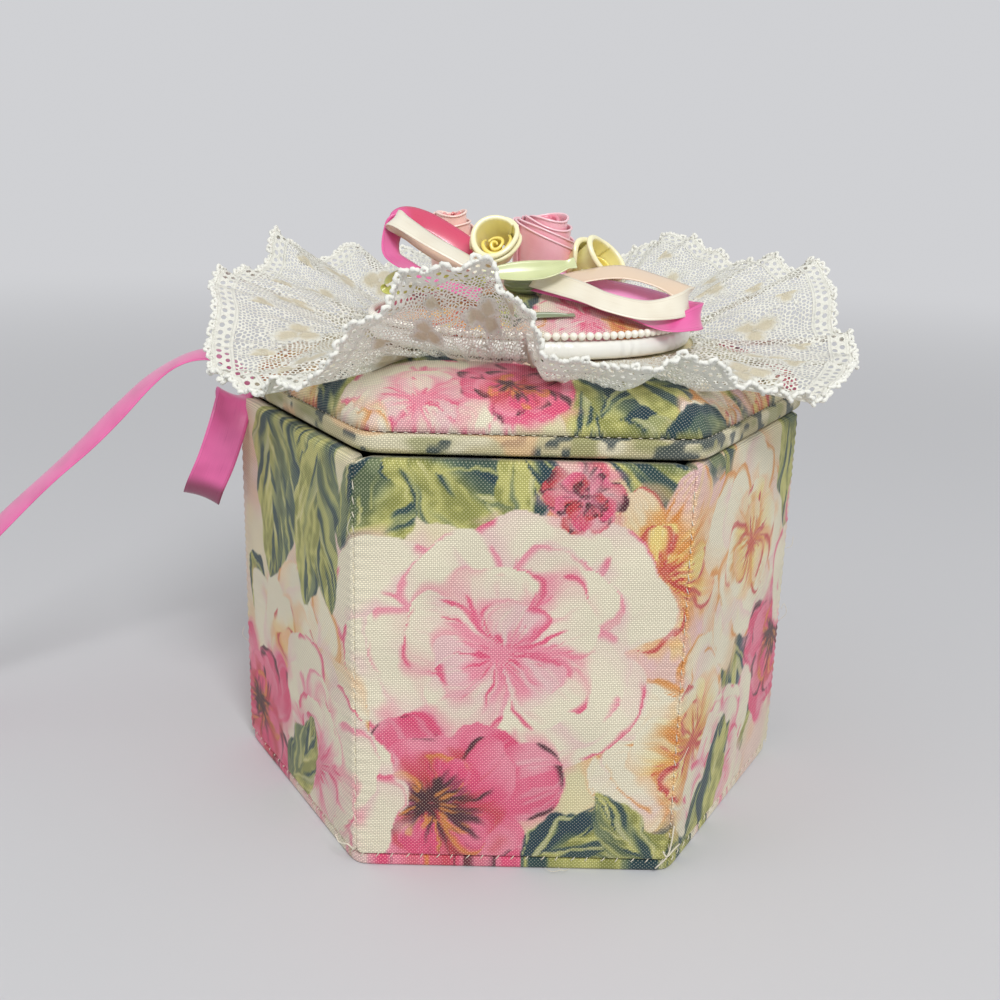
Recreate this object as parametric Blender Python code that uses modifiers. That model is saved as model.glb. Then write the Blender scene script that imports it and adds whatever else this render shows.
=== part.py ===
"""Hexagonal fabric jewelry box with a padded, lace-trimmed hinged lid.

Metres, +Z up. The origin is the middle of the base on the surface it stands on,
and the front panel faces -Y. The lid turns on the sewn seam along the back panel.
"""

import math

import bmesh
import bpy
from mathutils import Matrix, Vector

MM = 0.001

# General fits and cloth
GAP = 0.3 * MM                  # clearance between pieces that touch
SKIN = 0.9 * MM                 # folded cotton over a board
OVERRUN = 2.0 * MM              # how far a cutter runs past what it cuts
MERGE = 0.01 * MM               # points nearer than this are one point

# Box body
SIDES = 6
SIDE = 76.2 * MM                # outer width of one side panel
BODY_H = 101.6 * MM             # table to the top of the side panels
PANEL_PAD_T = 1.8 * MM          # wadded cotton outside a side board
PANEL_CROWN = 0.7 * MM          # how far the padding swells in the middle
PANEL_CORNER = 3.6 * MM         # round of a side panel's corners
PANEL_ROLL = 0.8 * MM           # round of its edges
BOARD_T = 2.0 * MM              # side board
LINING_T = 1.6 * MM             # padded lining panel
LINING_CROWN = 0.5 * MM
LINING_ROLL = 0.5 * MM
LINING_INSET = 2.2 * MM         # lining panel stops short of the panel's top and foot
PANEL_CUTS = 5
BOARD_CUTS = 2

# Base
BASE_T = 3.0 * MM               # covered base board
BASE_ROLL = 0.7 * MM
BASE_PAD_T = 2.4 * MM           # padded lining on the floor of the box
BASE_PAD_CROWN = 0.8 * MM
BASE_PAD_FIT = 0.8 * MM         # room round the floor pad

# Lid
LID_SHIFT_X = 1.9 * MM          # the lid sits a little to the right
LID_SHIFT_Y = 2.6 * MM          # and a little to the back
LID_LIFT = 0.6 * MM             # lid underside above the side panels
BAND_T = 4.7 * MM               # rolled band round the lid board
BAND_ROLL = 1.3 * MM
LID_CORNER = 4.0 * MM           # round of the lid's corners
LID_COVER_T = 0.9 * MM          # padded cover's cloth
LID_DOME_H = 12.6 * MM          # padded cover above the band
LID_COVER_INSET = 0.7 * MM      # stitched crease where the cover meets the band
LID_LINING_T = 2.2 * MM
LID_LINING_CROWN = 0.6 * MM
LID_LINING_ROLL = 0.7 * MM
LID_LINING_FIT = 5.0 * MM       # lid lining panel clear of the side linings
SEAM_R = 0.5 * MM               # sewn hinge seam
SEAM_INSET = 4.0 * MM           # seam stops short of the corners

# Dome profile: shares of the half width and of the dome's height
DOME_RADIUS_SHARES = (1.0, 0.985, 0.95, 0.90, 0.83, 0.74, 0.62, 0.46)
DOME_HEIGHT_SHARES = (0.10, 0.26, 0.44, 0.60, 0.74, 0.86, 0.95, 1.0)

# Medallion on the lid
MEDALLION_R = 41.0 * MM
MEDALLION_EDGE_H = 5.6 * MM     # side of the padded disc
MEDALLION_CROWN = 8.6 * MM      # crown above its edge
MEDALLION_BOARD_T = 1.5 * MM
MEDALLION_BOARD_INSET = 2.0 * MM
MEDALLION_STEPS = 36
HEADING_T = 1.8 * MM            # gathered heading band round the disc
HEADING_H = 4.4 * MM
PEARL_R = 1.0 * MM
PEARL_PITCH = 2.1 * MM
PEARL_NECK_SHARE = 0.42         # thread between two pearls

# Lace ruffle: heading, then the picot edge, as shares by bearing
LACE_T = 1.1 * MM
LACE_INNER_CLEAR = 0.9 * MM     # heading of the lace outside the gathered band
LACE_REACH = 40.0 * MM          # picot edge beyond the heading at share 1
LACE_LIFT = 30.0 * MM           # picot edge above the lid board at share 1
LACE_BASE_H = 12.6 * MM         # heading of the lace above the band
LACE_SAG = 5.0 * MM             # how far the middle of the lace hangs or bellies
LACE_COLUMNS = 84
LACE_ROWS = 6
# bearing in degrees from the right, counted through the back; reach, lift, belly shares
LACE_EDGE_SHARES = (
    (0, 1.02, 0.52, -0.3),
    (8, 1.03, 0.74, 0.1),
    (18, 1.05, 1.05, 0.5),
    (32, 1.02, 1.00, 0.0),
    (44, 1.02, 1.02, 0.3),
    (56, 1.02, 1.20, 0.4),
    (68, 0.98, 0.98, -0.1),
    (82, 0.96, 0.86, 0.3),
    (98, 0.96, 1.02, 0.5),
    (114, 0.98, 0.86, -0.1),
    (130, 1.02, 0.94, 0.4),
    (141, 1.04, 1.00, 0.2),
    (152, 0.98, 1.16, 0.5),
    (164, 0.99, 0.96, 0.3),
    (176, 1.00, 0.89, 0.2),
    (186, 0.98, 0.57, -0.2),
    (197, 0.94, 0.25, -0.4),
    (209, 0.86, 0.13, -0.4),
    (221, 0.82, 0.20, -0.3),
    (232, 0.84, 0.36, -0.1),
    (242, 0.83, 0.85, 0.4),
    (252, 0.75, 1.24, 0.7),
    (262, 0.72, 1.20, 0.7),
    (268, 0.62, 0.84, 0.3),
    (273, 0.55, 0.58, -0.5),
    (284, 0.60, 0.54, -0.9),
    (298, 0.66, 0.58, -0.9),
    (310, 0.74, 0.36, -0.6),
    (322, 0.78, 0.22, -0.5),
    (333, 0.84, 0.20, -0.4),
    (346, 0.94, 0.34, -0.4),
)

# Ribbon bow, roses and leaves on the medallion
BOW_W = 6.0 * MM                # narrow satin ribbon
RIBBON_T = 0.5 * MM
BOW_STEPS = 22
TRIM_SEAT = 0.3 * MM            # trim stands this far off the padded disc
BOW_KNOT_T = 5.0 * MM           # gathered knot under the loops
ROSE_SETTLE = 0.7 * MM          # a leaning rose settles on the sloping disc
ROSE_STEPS_PER_TURN = 14
ROSE_T = 0.7 * MM
LEAF_T = 0.8 * MM
LEAF_STEPS = 10

# Wide satin ribbon at the left corner
TAIL_W = 10.0 * MM
TAIL_STEPS = 72
LOOP_STEPS = 40
KNOT_W = 9.4 * MM
KNOT_H = 7.0 * MM
KNOT_T = 2.0 * MM
KNOT_ROLL = 0.6 * MM
KNOT_ALONG = 6.2 * MM           # from the corner, along the panel behind it
KNOT_DROP = 6.0 * MM            # below the top of the panel

# Bow loops: x, y and height over the disc as shares of its radius, then the ribbon's width way
BOW_SHARES = {
    "bow_loop_cream_left": ("cream", (
        ((-0.295, -0.517, 0.153), (0.1, 0.6, 0.8)), ((-0.400, -0.537, 0.236), (0.1, 0.6, 0.8)),
        ((-0.629, -0.515, 0.401), (0.2, 0.5, 0.85)), ((-0.815, -0.454, 0.548), (0.3, 0.5, 0.8)),
        ((-0.890, -0.371, 0.568), (0.3, 0.6, 0.75)), ((-0.802, -0.298, 0.447), (0.2, 0.6, 0.75)),
        ((-0.620, -0.312, 0.277), (0.1, 0.6, 0.8)), ((-0.402, -0.368, 0.147), (0.1, 0.6, 0.8)))),
    "bow_loop_pink_left": ("pink", (
        ((-0.300, -0.293, 0.114), (0.1, 0.6, 0.8)), ((-0.388, -0.224, 0.226), (0.1, 0.6, 0.8)),
        ((-0.524, -0.180, 0.339), (0.1, 0.6, 0.8)), ((-0.705, -0.171, 0.473), (0.2, 0.6, 0.8)),
        ((-0.863, -0.229, 0.560), (0.3, 0.6, 0.75)), ((-0.963, -0.344, 0.512), (0.4, 0.6, 0.7)),
        ((-0.939, -0.478, 0.400), (0.3, 0.6, 0.75)), ((-0.785, -0.571, 0.312), (0.1, 0.6, 0.8)),
        ((-0.624, -0.615, 0.216), (0.1, 0.6, 0.8)), ((-0.449, -0.649, 0.124), (0.1, 0.6, 0.8)),
        ((-0.315, -0.659, 0.069), (0.1, 0.6, 0.8)))),
    "bow_loop_cream_right": ("cream", (
        ((0.154, -0.610, 0.113), (0.0, 0.55, 0.85)), ((0.271, -0.673, 0.107), (0.0, 0.55, 0.85)),
        ((0.441, -0.732, 0.110), (0.0, 0.5, 0.85)), ((0.639, -0.741, 0.131), (0.1, 0.5, 0.85)),
        ((0.795, -0.707, 0.141), (0.1, 0.5, 0.85)), ((0.920, -0.615, 0.156), (0.1, 0.5, 0.85)),
        ((0.944, -0.493, 0.200), (0.1, 0.5, 0.85)), ((0.783, -0.439, 0.196), (0.0, 0.5, 0.85)),
        ((0.539, -0.468, 0.128), (0.0, 0.5, 0.85)), ((0.295, -0.488, 0.085), (0.0, 0.5, 0.85)),
        ((0.163, -0.498, 0.080), (0.0, 0.5, 0.85)))),
    "bow_loop_pink_right": ("pink", (
        ((0.159, -0.556, 0.075), (0.0, 0.6, 0.8)), ((0.295, -0.576, 0.060), (0.0, 0.7, 0.7)),
        ((0.478, -0.624, 0.050), (0.1, 0.8, 0.5)), ((0.646, -0.683, 0.040), (0.2, 0.9, 0.2)),
        ((0.807, -0.737, 0.040), (0.3, 0.9, 0.2)), ((0.963, -0.702, 0.060), (0.4, 0.7, 0.5)),
        ((1.061, -0.541, 0.112), (0.2, 0.5, 0.85)), ((0.988, -0.376, 0.180), (0.0, 0.5, 0.85)),
        ((0.759, -0.317, 0.126), (0.0, 0.5, 0.85)), ((0.539, -0.361, 0.085), (0.0, 0.5, 0.85)),
        ((0.295, -0.390, 0.075), (0.0, 0.5, 0.85)), ((0.159, -0.395, 0.075), (0.0, 0.5, 0.85)))),
}
# The gathered knot under the loops: its ends and its front and back, shares of the disc's radius
KNOT_SPAN_SHARES = (-0.26, 0.13)
KNOT_DEEP_SHARES = (-0.61, -0.31)

# Roses: foot x and y as shares of the disc's radius
ROSE_FOOT_SHARES = {
    "rose_yellow_left": (-0.225, -0.330),
    "rose_yellow_right": (0.405, -0.120),
    "rose_pink": (0.075, -0.035),
    "rose_peach": (-0.520, 0.130),
}
# Roses: colour, height of the foot over the disc, lean in degrees about X and Y,
# outer radius, height, turns
ROSES = {
    "rose_yellow_left": ("yellow", BOW_KNOT_T, (30.0, -8.0), 5.5 * MM, 11.5 * MM, 2.1),
    "rose_yellow_right": ("yellow", -ROSE_SETTLE, (16.0, 14.0), 6.2 * MM, 12.0 * MM, 2.1),
    "rose_pink": ("rose", 0.0, (4.0, 2.0), 8.8 * MM, 18.5 * MM, 2.3),
    "rose_peach": ("peach", 0.0, (3.0, -4.0), 7.0 * MM, 18.5 * MM, 2.2),
}
ROSE_CORE_SHARE = 0.24
ROSE_FLARE_SHARE = 0.22
ROSE_WAIST_SHARE = 0.72
ROSE_FALL_SHARE = 0.14
ROSE_ROWS = 3

# Leaves: points over the disc as shares of its radius
LEAF_POINT_SHARES = {
    "leaf_sage": ((-0.322, -0.610, 0.178), (-0.120, -0.605, 0.170), (0.076, -0.605, 0.186),
                  (0.251, -0.600, 0.245)),
    "leaf_small": ((-1.000, -0.429, 0.145), (-0.800, -0.440, 0.140), (-0.620, -0.450, 0.100),
                   (-0.450, -0.460, 0.075), (-0.285, -0.460, 0.065)),
    "leaf_dark": ((-0.193, -0.830, 0.014), (-0.046, -0.840, 0.014), (0.100, -0.820, 0.014),
                  (0.246, -0.790, 0.014)),
}
# Leaves: colour, width, way of the width
LEAVES = {
    "leaf_sage": ("leaf", 6.6 * MM, (0.1, 0.75, 0.65)),
    "leaf_small": ("leaf", 4.8 * MM, (0.2, 0.7, 0.7)),
    "leaf_dark": ("leaf_dark", 4.4 * MM, (0.0, 1.0, 0.4)),
}
LEAF_END_SHARE = 0.14

# The wide ribbon's route from the left corner, in millimetres, chosen by eye
LOOP_POINTS = ((-78.3, 3.3, 97.8), (-80.6, 0.2, 101.6), (-81.0, -4.6, 101.0), (-81.8, -8.6, 94.8),
               (-83.8, -10.4, 86.2), (-85.8, -9.8, 78.6), (-86.8, -6.6, 74.6), (-86.2, -2.8, 77.0),
               (-84.2, -0.4, 82.6), (-81.6, 1.6, 88.0), (-79.3, 3.0, 92.0))
LOOP_ACROSS = ((0.50, 0.86, 0.00), (0.68, 0.68, -0.08), (0.88, 0.40, -0.10), (0.88, 0.40, -0.20),
               (0.86, 0.42, -0.22), (0.86, 0.44, -0.18), (0.86, 0.46, -0.10), (0.86, 0.48, -0.05),
               (0.80, 0.58, -0.04), (0.68, 0.72, -0.02), (0.52, 0.84, 0.00))
TAIL_POINTS = ((-72.3, 13.3, 95.8), (-74.8, 13.2, 100.4), (-78.4, 12.6, 106.2),
               (-83.6, 11.4, 110.6), (-89.6, 10.0, 111.0), (-96.0, 8.4, 108.6),
               (-103.0, 6.8, 103.4), (-111.0, 5.2, 95.4), (-119.6, 3.6, 86.8),
               (-128.4, 2.2, 78.8), (-137.4, 1.0, 70.4), (-146.6, 0.0, 61.4),
               (-156.0, -0.8, 51.6), (-165.0, -1.4, 41.0), (-173.4, -1.8, 30.0),
               (-180.8, -2.2, 18.8), (-187.5, -2.6, 9.0), (-194.5, -3.0, 3.0),
               (-203.0, -3.6, 1.2), (-213.0, -4.4, 0.9), (-224.0, -5.4, 0.9))
TAIL_ACROSS = ((0.50, 0.86, 0.00), (0.36, 0.92, 0.10), (0.10, 0.95, 0.30), (-0.06, 0.88, 0.46),
               (-0.22, 0.82, 0.54), (-0.34, 0.79, 0.51), (-0.40, 0.78, 0.48), (-0.42, 0.78, 0.46),
               (-0.42, 0.78, 0.46), (-0.42, 0.78, 0.45), (-0.41, 0.79, 0.44), (-0.39, 0.81, 0.41),
               (-0.36, 0.84, 0.36), (-0.32, 0.87, 0.30), (-0.26, 0.91, 0.22), (-0.18, 0.96, 0.14),
               (-0.10, 0.98, 0.07), (-0.04, 1.00, 0.02), (0.05, 1.00, 0.00), (0.08, 1.00, 0.00),
               (0.09, 1.00, 0.00))

# Derived sizes
TURN = math.tau / SIDES
APOTHEM = SIDE / (2.0 * math.tan(TURN / 2.0))
CORNER_R = SIDE / (2.0 * math.sin(TURN / 2.0))
MITRE = math.tan(TURN / 2.0)
COVER_DEPTH = PANEL_PAD_T + GAP + BOARD_T
WALL_T = COVER_DEPTH + GAP + LINING_T
INNER_APOTHEM = APOTHEM - WALL_T
WALL_Z = BASE_T + GAP
WALL_H = BODY_H - WALL_Z
LID_Z = BODY_H + LID_LIFT
BAND_TOP = LID_Z + BAND_T
COVER_Z = BAND_TOP + GAP
DOME_TOP = COVER_Z + LID_DOME_H
SEAT_Z = DOME_TOP + GAP
HINGE_Y = APOTHEM + SEAM_R + GAP
HINGE_Z = LID_Z - GAP - SEAM_R
HEADING_R = MEDALLION_R + GAP
PEARL_RING_R = HEADING_R + HEADING_T / 2.0
PEARL_Z = SEAT_Z + HEADING_H + GAP + PEARL_R
LACE_R = HEADING_R + HEADING_T + LACE_INNER_CLEAR
MEDALLION_TOP = SEAT_Z + MEDALLION_EDGE_H + MEDALLION_CROWN

SIDE_NAMES = ("front", "front_right", "back_right", "back", "back_left", "front_left")

COLOURS = {
    "cover": (0.78, 0.66, 0.56), "lining": (0.80, 0.76, 0.66), "board": (0.55, 0.47, 0.36),
    "wadding": (0.86, 0.85, 0.82), "band": (0.62, 0.56, 0.42), "lace": (0.84, 0.80, 0.70),
    "satin_white": (0.88, 0.86, 0.80), "pearl": (0.86, 0.82, 0.72), "thread": (0.80, 0.74, 0.62),
    "pink": (0.75, 0.10, 0.35), "cream": (0.82, 0.74, 0.62), "yellow": (0.84, 0.76, 0.40),
    "rose": (0.80, 0.36, 0.40), "peach": (0.84, 0.52, 0.42), "leaf": (0.56, 0.60, 0.36),
    "leaf_dark": (0.16, 0.22, 0.14),
}


def clear_scene():
    for obj in list(bpy.data.objects):
        bpy.data.objects.remove(obj, do_unlink=True)


def new_collection(name):
    group = bpy.data.collections.new(name)
    bpy.context.scene.collection.children.link(group)
    return group


def material(key, name, rough, metal):
    mat = bpy.data.materials.new(name)
    mat.use_nodes = True
    shader = mat.node_tree.nodes["Principled BSDF"]
    shader.inputs["Base Color"].default_value = (*COLOURS[key], 1.0)
    shader.inputs["Roughness"].default_value = rough
    shader.inputs["Metallic"].default_value = metal
    mat.diffuse_color = (*COLOURS[key], 1.0)
    return mat


def add_object(name, mesh, group, key, rough=0.85, metal=0.0):
    obj = bpy.data.objects.new(name, mesh)
    group.objects.link(obj)
    if not mesh.materials:
        mesh.materials.append(material(key, name, rough, metal))
    return obj


def mesh_from(bm, name):
    bmesh.ops.recalc_face_normals(bm, faces=bm.faces)
    mesh = bpy.data.meshes.new(name)
    bm.to_mesh(mesh)
    bm.free()
    return mesh


def smooth(obj, degrees=35.0):
    obj.data.shade_smooth()
    obj.data.set_sharp_from_angle(angle=math.radians(degrees))


def bevel(obj, width, segments=2, degrees=40.0):
    mod = obj.modifiers.new("edge_roll", "BEVEL")
    mod.width = width
    mod.segments = segments
    mod.limit_method = "ANGLE"
    mod.angle_limit = math.radians(degrees)
    return mod


def subtract(obj, cutter):
    mod = obj.modifiers.new("pocket", "BOOLEAN")
    mod.operation = "DIFFERENCE"
    mod.solver = "EXACT"
    mod.object = cutter
    cutter.hide_render = True
    cutter.display_type = "WIRE"
    return mod


def bake(obj):
    """Replace the object's mesh by the evaluated one."""
    bpy.context.view_layer.update()
    graph = bpy.context.evaluated_depsgraph_get()
    mesh = bpy.data.meshes.new_from_object(obj.evaluated_get(graph))
    obj.modifiers.clear()
    obj.data = mesh
    return mesh


def crown(share_a, share_b):
    """Swelling of a padded panel: 1 in the middle, 0 at its edges."""
    return (1.0 - share_a ** 4) * (1.0 - share_b ** 4)


def line_share(share, corner_share, cuts):
    """Put the grid line next to a panel's edge where its corner round ends."""
    first = 1.0 - 2.0 / (cuts + 1)
    if abs(abs(share) - first) < 0.001:
        return math.copysign(1.0 - corner_share, share)
    return share


def panel_mesh(name, depth_a, depth_b, inset, foot, head, swell, corner, cuts=BOARD_CUTS):
    """A mitred panel of the side wall between two depths, its outside facing -Y.

    A positive swell pads its outer face and a negative one its inner face.
    """
    bm = bmesh.new()
    bmesh.ops.create_cube(bm, size=1.0)
    long_edges = [e for e in bm.edges if abs((e.verts[0].co - e.verts[1].co).y) < 0.5]
    bmesh.ops.subdivide_edges(bm, edges=long_edges, cuts=cuts, use_grid_fill=True)
    height = head - foot
    for vert in bm.verts:
        across, deep, up = (2.0 * vert.co.x, vert.co.y + 0.5, 2.0 * vert.co.z)
        depth = depth_a + (depth_b - depth_a) * deep
        half = SIDE / 2.0 - depth * MITRE - inset
        if corner:
            across = line_share(across, corner / half, cuts)
            up = line_share(up, 2.0 * corner / height, cuts)
        x = across * half
        z = (foot + head) / 2.0 + up * height / 2.0
        if corner and abs(across) > 0.999 and abs(up) > 0.999:
            pull = corner * (1.0 - math.cos(math.pi / 4.0))
            x -= math.copysign(pull, across)
            z -= math.copysign(pull, up)
        bulge = swell * crown(across, up)
        y = -APOTHEM + depth
        if bulge > 0.0 and deep < 0.5:
            y -= bulge
        elif bulge < 0.0 and deep > 0.5:
            y -= bulge
        vert.co = Vector((x, y, z))
    return mesh_from(bm, name)


def hexagon(apothem, z_low, z_high, corner=0.0):
    """A six-sided block with a corner on +X, and its top face."""
    bm = bmesh.new()
    radius = apothem / math.cos(TURN / 2.0)
    bmesh.ops.create_cone(bm, cap_ends=True, segments=SIDES, radius1=radius, radius2=radius,
                          depth=z_high - z_low)
    bmesh.ops.rotate(bm, verts=bm.verts, matrix=turn_z(start_angle(bm)))
    bmesh.ops.translate(bm, verts=bm.verts, vec=(0.0, 0.0, (z_low + z_high) / 2.0))
    if corner:
        uprights = [e for e in bm.edges if abs(e.verts[0].co.z - e.verts[1].co.z) > GAP]
        bmesh.ops.bevel(bm, geom=uprights, offset=corner, segments=3, profile=0.5, affect="EDGES")
    return bm


def start_angle(bm):
    """The turn that brings the block's nearest corner onto +X."""
    first = max(bm.verts, key=lambda v: (round(v.co.x, 6), round(v.co.y, 6)))
    return -math.atan2(first.co.y, first.co.x)


def turn_z(angle):
    return Matrix.Rotation(angle, 3, "Z")


def end_face(bm, top=True):
    return max(bm.faces, key=lambda f: f.calc_center_median().z * (1.0 if top else -1.0))


def raise_rings(bm, face, radius_shares, heights):
    """Draw a face up through rings, each a share of the first outline, at its height."""
    centre = face.calc_center_median()
    current = face
    last = 1.0
    for share, height in zip(radius_shares, heights):
        made = bmesh.ops.extrude_discrete_faces(bm, faces=[current])["faces"][0]
        for vert in made.verts:
            offset = vert.co - centre
            vert.co.x = centre.x + offset.x * share / last
            vert.co.y = centre.y + offset.y * share / last
            vert.co.z = centre.z + height
        last = share
        current = made


def dome_mesh(name, apothem, z_low, height, corner, closed=True):
    """A padded hexagon: a low upright edge, then the dome profile."""
    edge = DOME_HEIGHT_SHARES[0] * height
    bm = hexagon(apothem, z_low, z_low + edge, corner)
    heights = [share * height - edge for share in DOME_HEIGHT_SHARES[1:]]
    raise_rings(bm, end_face(bm), DOME_RADIUS_SHARES[1:], heights)
    if not closed:
        bmesh.ops.delete(bm, geom=[end_face(bm, top=False)], context="FACES_ONLY")
    return mesh_from(bm, name)


def pad_mesh(name, apothem, z_low, z_high, swell, roll, corner, downwards=False):
    """A flat padded hexagon with rolled edges and a slight crown."""
    bm = hexagon(apothem, z_low, z_high, corner)
    face = end_face(bm, top=not downwards)
    sign = -1.0 if downwards else 1.0
    shares = (1.0 - roll / apothem, 0.82, 0.55)
    heights = (sign * roll / 2.0, sign * swell * 0.8, sign * swell)
    raise_rings(bm, face, shares, heights)
    return mesh_from(bm, name)


def grid_mesh(name, columns, rows, place, closed=False):
    """A sheet of columns by rows, each point put where place(u, v) says."""
    bm = bmesh.new()
    bmesh.ops.create_grid(bm, x_segments=columns, y_segments=rows, size=1.0)
    for vert in bm.verts:
        vert.co = place((vert.co.x + 1.0) / 2.0, (vert.co.y + 1.0) / 2.0)
    if closed:
        bmesh.ops.remove_doubles(bm, verts=bm.verts, dist=MERGE)
    return mesh_from(bm, name)


def thicken(obj, thickness, offset=0.0):
    mod = obj.modifiers.new("cloth", "SOLIDIFY")
    mod.thickness = thickness
    mod.offset = offset
    mod.use_even_offset = True
    return mod


def through(points, share, closed=False):
    """A smooth curve through the points, by the share of its way along them."""
    count = len(points)
    spans = count if closed else count - 1
    where = min(max(share, 0.0), 1.0) * spans
    index = min(int(where), spans - 1)
    t = where - index
    picked = []
    for step in (-1, 0, 1, 2):
        i = index + step
        if closed:
            i %= count
            picked.append(Vector(points[i]))
        elif i < 0:
            picked.append(2.0 * Vector(points[0]) - Vector(points[1]))
        elif i > count - 1:
            picked.append(2.0 * Vector(points[-1]) - Vector(points[-2]))
        else:
            picked.append(Vector(points[i]))
    a, b, c, d = picked
    return 0.5 * ((2.0 * b) + (c - a) * t + (2.0 * a - 5.0 * b + 4.0 * c - d) * t ** 2
                  + (3.0 * b - a - 3.0 * c + d) * t ** 3)


def lerp(a, b, t):
    return a + (b - a) * t


def build_walls(parts, cutters):
    """Six side walls: covered board outside, board, padded lining inside."""
    half_seam = GAP / 2.0 / math.cos(TURN / 2.0)
    cover = add_object("side_cover_front", panel_mesh(
        "side_cover", 0.0, COVER_DEPTH, half_seam, WALL_Z, BODY_H, PANEL_CROWN, PANEL_CORNER,
        PANEL_CUTS), parts, "cover")
    bevel(cover, PANEL_ROLL, degrees=50.0)
    wrap = (SKIN + GAP) / math.cos(TURN / 2.0)
    pocket = add_object("side_pocket", panel_mesh(
        "side_pocket", PANEL_PAD_T, COVER_DEPTH + OVERRUN, half_seam + SKIN, WALL_Z + SKIN,
        BODY_H - SKIN, 0.0, PANEL_CORNER), cutters, "board")
    subtract(cover, pocket)
    cover_mesh = bake(cover)
    board_mesh = panel_mesh("side_board", PANEL_PAD_T + GAP, COVER_DEPTH, half_seam + wrap,
                            WALL_Z + SKIN + GAP, BODY_H - SKIN - GAP, 0.0, PANEL_CORNER)
    lining = add_object("side_lining_front", panel_mesh(
        "side_lining", COVER_DEPTH + GAP, WALL_T, half_seam, WALL_Z + LINING_INSET,
        BODY_H - LINING_INSET, -LINING_CROWN, PANEL_CORNER, PANEL_CUTS - 1), parts, "lining")
    bevel(lining, LINING_ROLL, segments=1, degrees=50.0)
    lining_mesh = bake(lining)
    bpy.data.objects.remove(cover, do_unlink=True)
    bpy.data.objects.remove(lining, do_unlink=True)
    for index, side in enumerate(SIDE_NAMES):
        for kind, mesh, key in (("cover", cover_mesh, "cover"), ("board", board_mesh, "board"),
                                ("lining", lining_mesh, "lining")):
            own = mesh.copy()
            own.materials.clear()
            obj = add_object("side_" + kind + "_" + side, own, parts, key)
            obj.rotation_euler.z = index * TURN
            smooth(obj)


def build_base(parts, cutters):
    """Covered base board under the walls, and the padded floor inside them."""
    tray = add_object("base_cover", mesh_from(
        hexagon(APOTHEM - GAP, 0.0, BASE_T, PANEL_ROLL), "base_cover"), parts, "cover")
    bevel(tray, BASE_ROLL, degrees=60.0)
    pocket = add_object("base_pocket", mesh_from(
        hexagon(APOTHEM - GAP - SKIN, SKIN, BASE_T + OVERRUN), "base_pocket"), cutters, "board")
    subtract(tray, pocket)
    smooth(tray)
    add_object("base_board", mesh_from(
        hexagon(APOTHEM - SKIN - 2.0 * GAP, SKIN + GAP, BASE_T), "base_board"), parts, "board")
    pad = add_object("base_lining_pad", pad_mesh(
        "base_lining_pad", INNER_APOTHEM - BASE_PAD_FIT, WALL_Z, WALL_Z + BASE_PAD_T,
        BASE_PAD_CROWN, BASE_ROLL, PANEL_ROLL), parts, "lining")
    smooth(pad)


def build_hinge(parts):
    """The sewn seam that the lid turns on, along the top of the back panel."""
    bpy.ops.mesh.primitive_cylinder_add(vertices=12, radius=SEAM_R, depth=SIDE - 2.0 * SEAM_INSET,
                                        location=(0.0, HINGE_Y, HINGE_Z),
                                        rotation=(0.0, math.pi / 2.0, 0.0))
    seam = bpy.context.active_object
    seam.name = "hinge_seam"
    for group in list(seam.users_collection):
        group.objects.unlink(seam)
    parts.objects.link(seam)
    seam.data.materials.append(material("thread", "hinge_seam", 0.8, 0.0))
    smooth(seam)


def lid_place(obj, pivot):
    """Hang a lid piece, modelled about the lid's middle, on the hinge line."""
    obj.parent = pivot
    obj.location = (LID_SHIFT_X, LID_SHIFT_Y - HINGE_Y, -HINGE_Z)


def build_lid(parts, cutters, pivot):
    """Rolled band with its board, padded cover with its wadding, and the lid lining."""
    band = add_object("lid_band_cover", mesh_from(
        hexagon(APOTHEM, LID_Z, BAND_TOP, LID_CORNER), "lid_band_cover"), parts, "band")
    bevel(band, BAND_ROLL, segments=3, degrees=60.0)
    pocket = add_object("lid_pocket", mesh_from(
        hexagon(APOTHEM - BAND_ROLL - SKIN, LID_Z + SKIN, BAND_TOP + OVERRUN, LID_CORNER),
        "lid_pocket"), cutters, "board")
    lid_place(pocket, pivot)
    subtract(band, pocket)
    smooth(band)
    board = add_object("lid_board", mesh_from(
        hexagon(APOTHEM - BAND_ROLL - SKIN - GAP, LID_Z + SKIN + GAP, BAND_TOP, LID_CORNER),
        "lid_board"), parts, "board")
    cover = add_object("lid_top_cover", dome_mesh(
        "lid_top_cover", APOTHEM - LID_COVER_INSET, COVER_Z, LID_DOME_H, LID_CORNER, closed=False),
        parts, "cover")
    thicken(cover, LID_COVER_T, offset=-1.0)
    smooth(cover)
    inner = LID_COVER_T + GAP
    wadding = add_object("lid_wadding", dome_mesh(
        "lid_wadding", APOTHEM - LID_COVER_INSET - inner - GAP, COVER_Z, LID_DOME_H - inner,
        LID_CORNER), parts, "wadding")
    smooth(wadding)
    lining = add_object("lid_lining", pad_mesh(
        "lid_lining", INNER_APOTHEM - LID_LINING_FIT,
        LID_Z - GAP - LID_LINING_T + LID_LINING_CROWN, LID_Z - GAP, LID_LINING_CROWN,
        LID_LINING_ROLL, PANEL_ROLL, downwards=True), parts, "lining")
    smooth(lining)
    for obj in (band, board, cover, wadding, lining):
        lid_place(obj, pivot)


def turned(name, profile, steps, parts, key, rough=0.7, closed=False):
    """A turned piece: its outline at +X, run round the upright axis."""
    mesh = bpy.data.meshes.new(name)
    edges = [(i, i + 1) for i in range(len(profile) - 1)]
    if closed:
        edges.append((len(profile) - 1, 0))
    mesh.from_pydata([(x, 0.0, z) for x, z in profile], edges, [])
    obj = add_object(name, mesh, parts, key, rough)
    mod = obj.modifiers.new("turn", "SCREW")
    mod.axis = "Z"
    mod.angle = math.tau
    mod.steps = steps
    mod.render_steps = steps
    mod.use_merge_vertices = True
    mod.merge_threshold = MERGE
    mod.use_smooth_shade = True
    return obj


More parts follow.
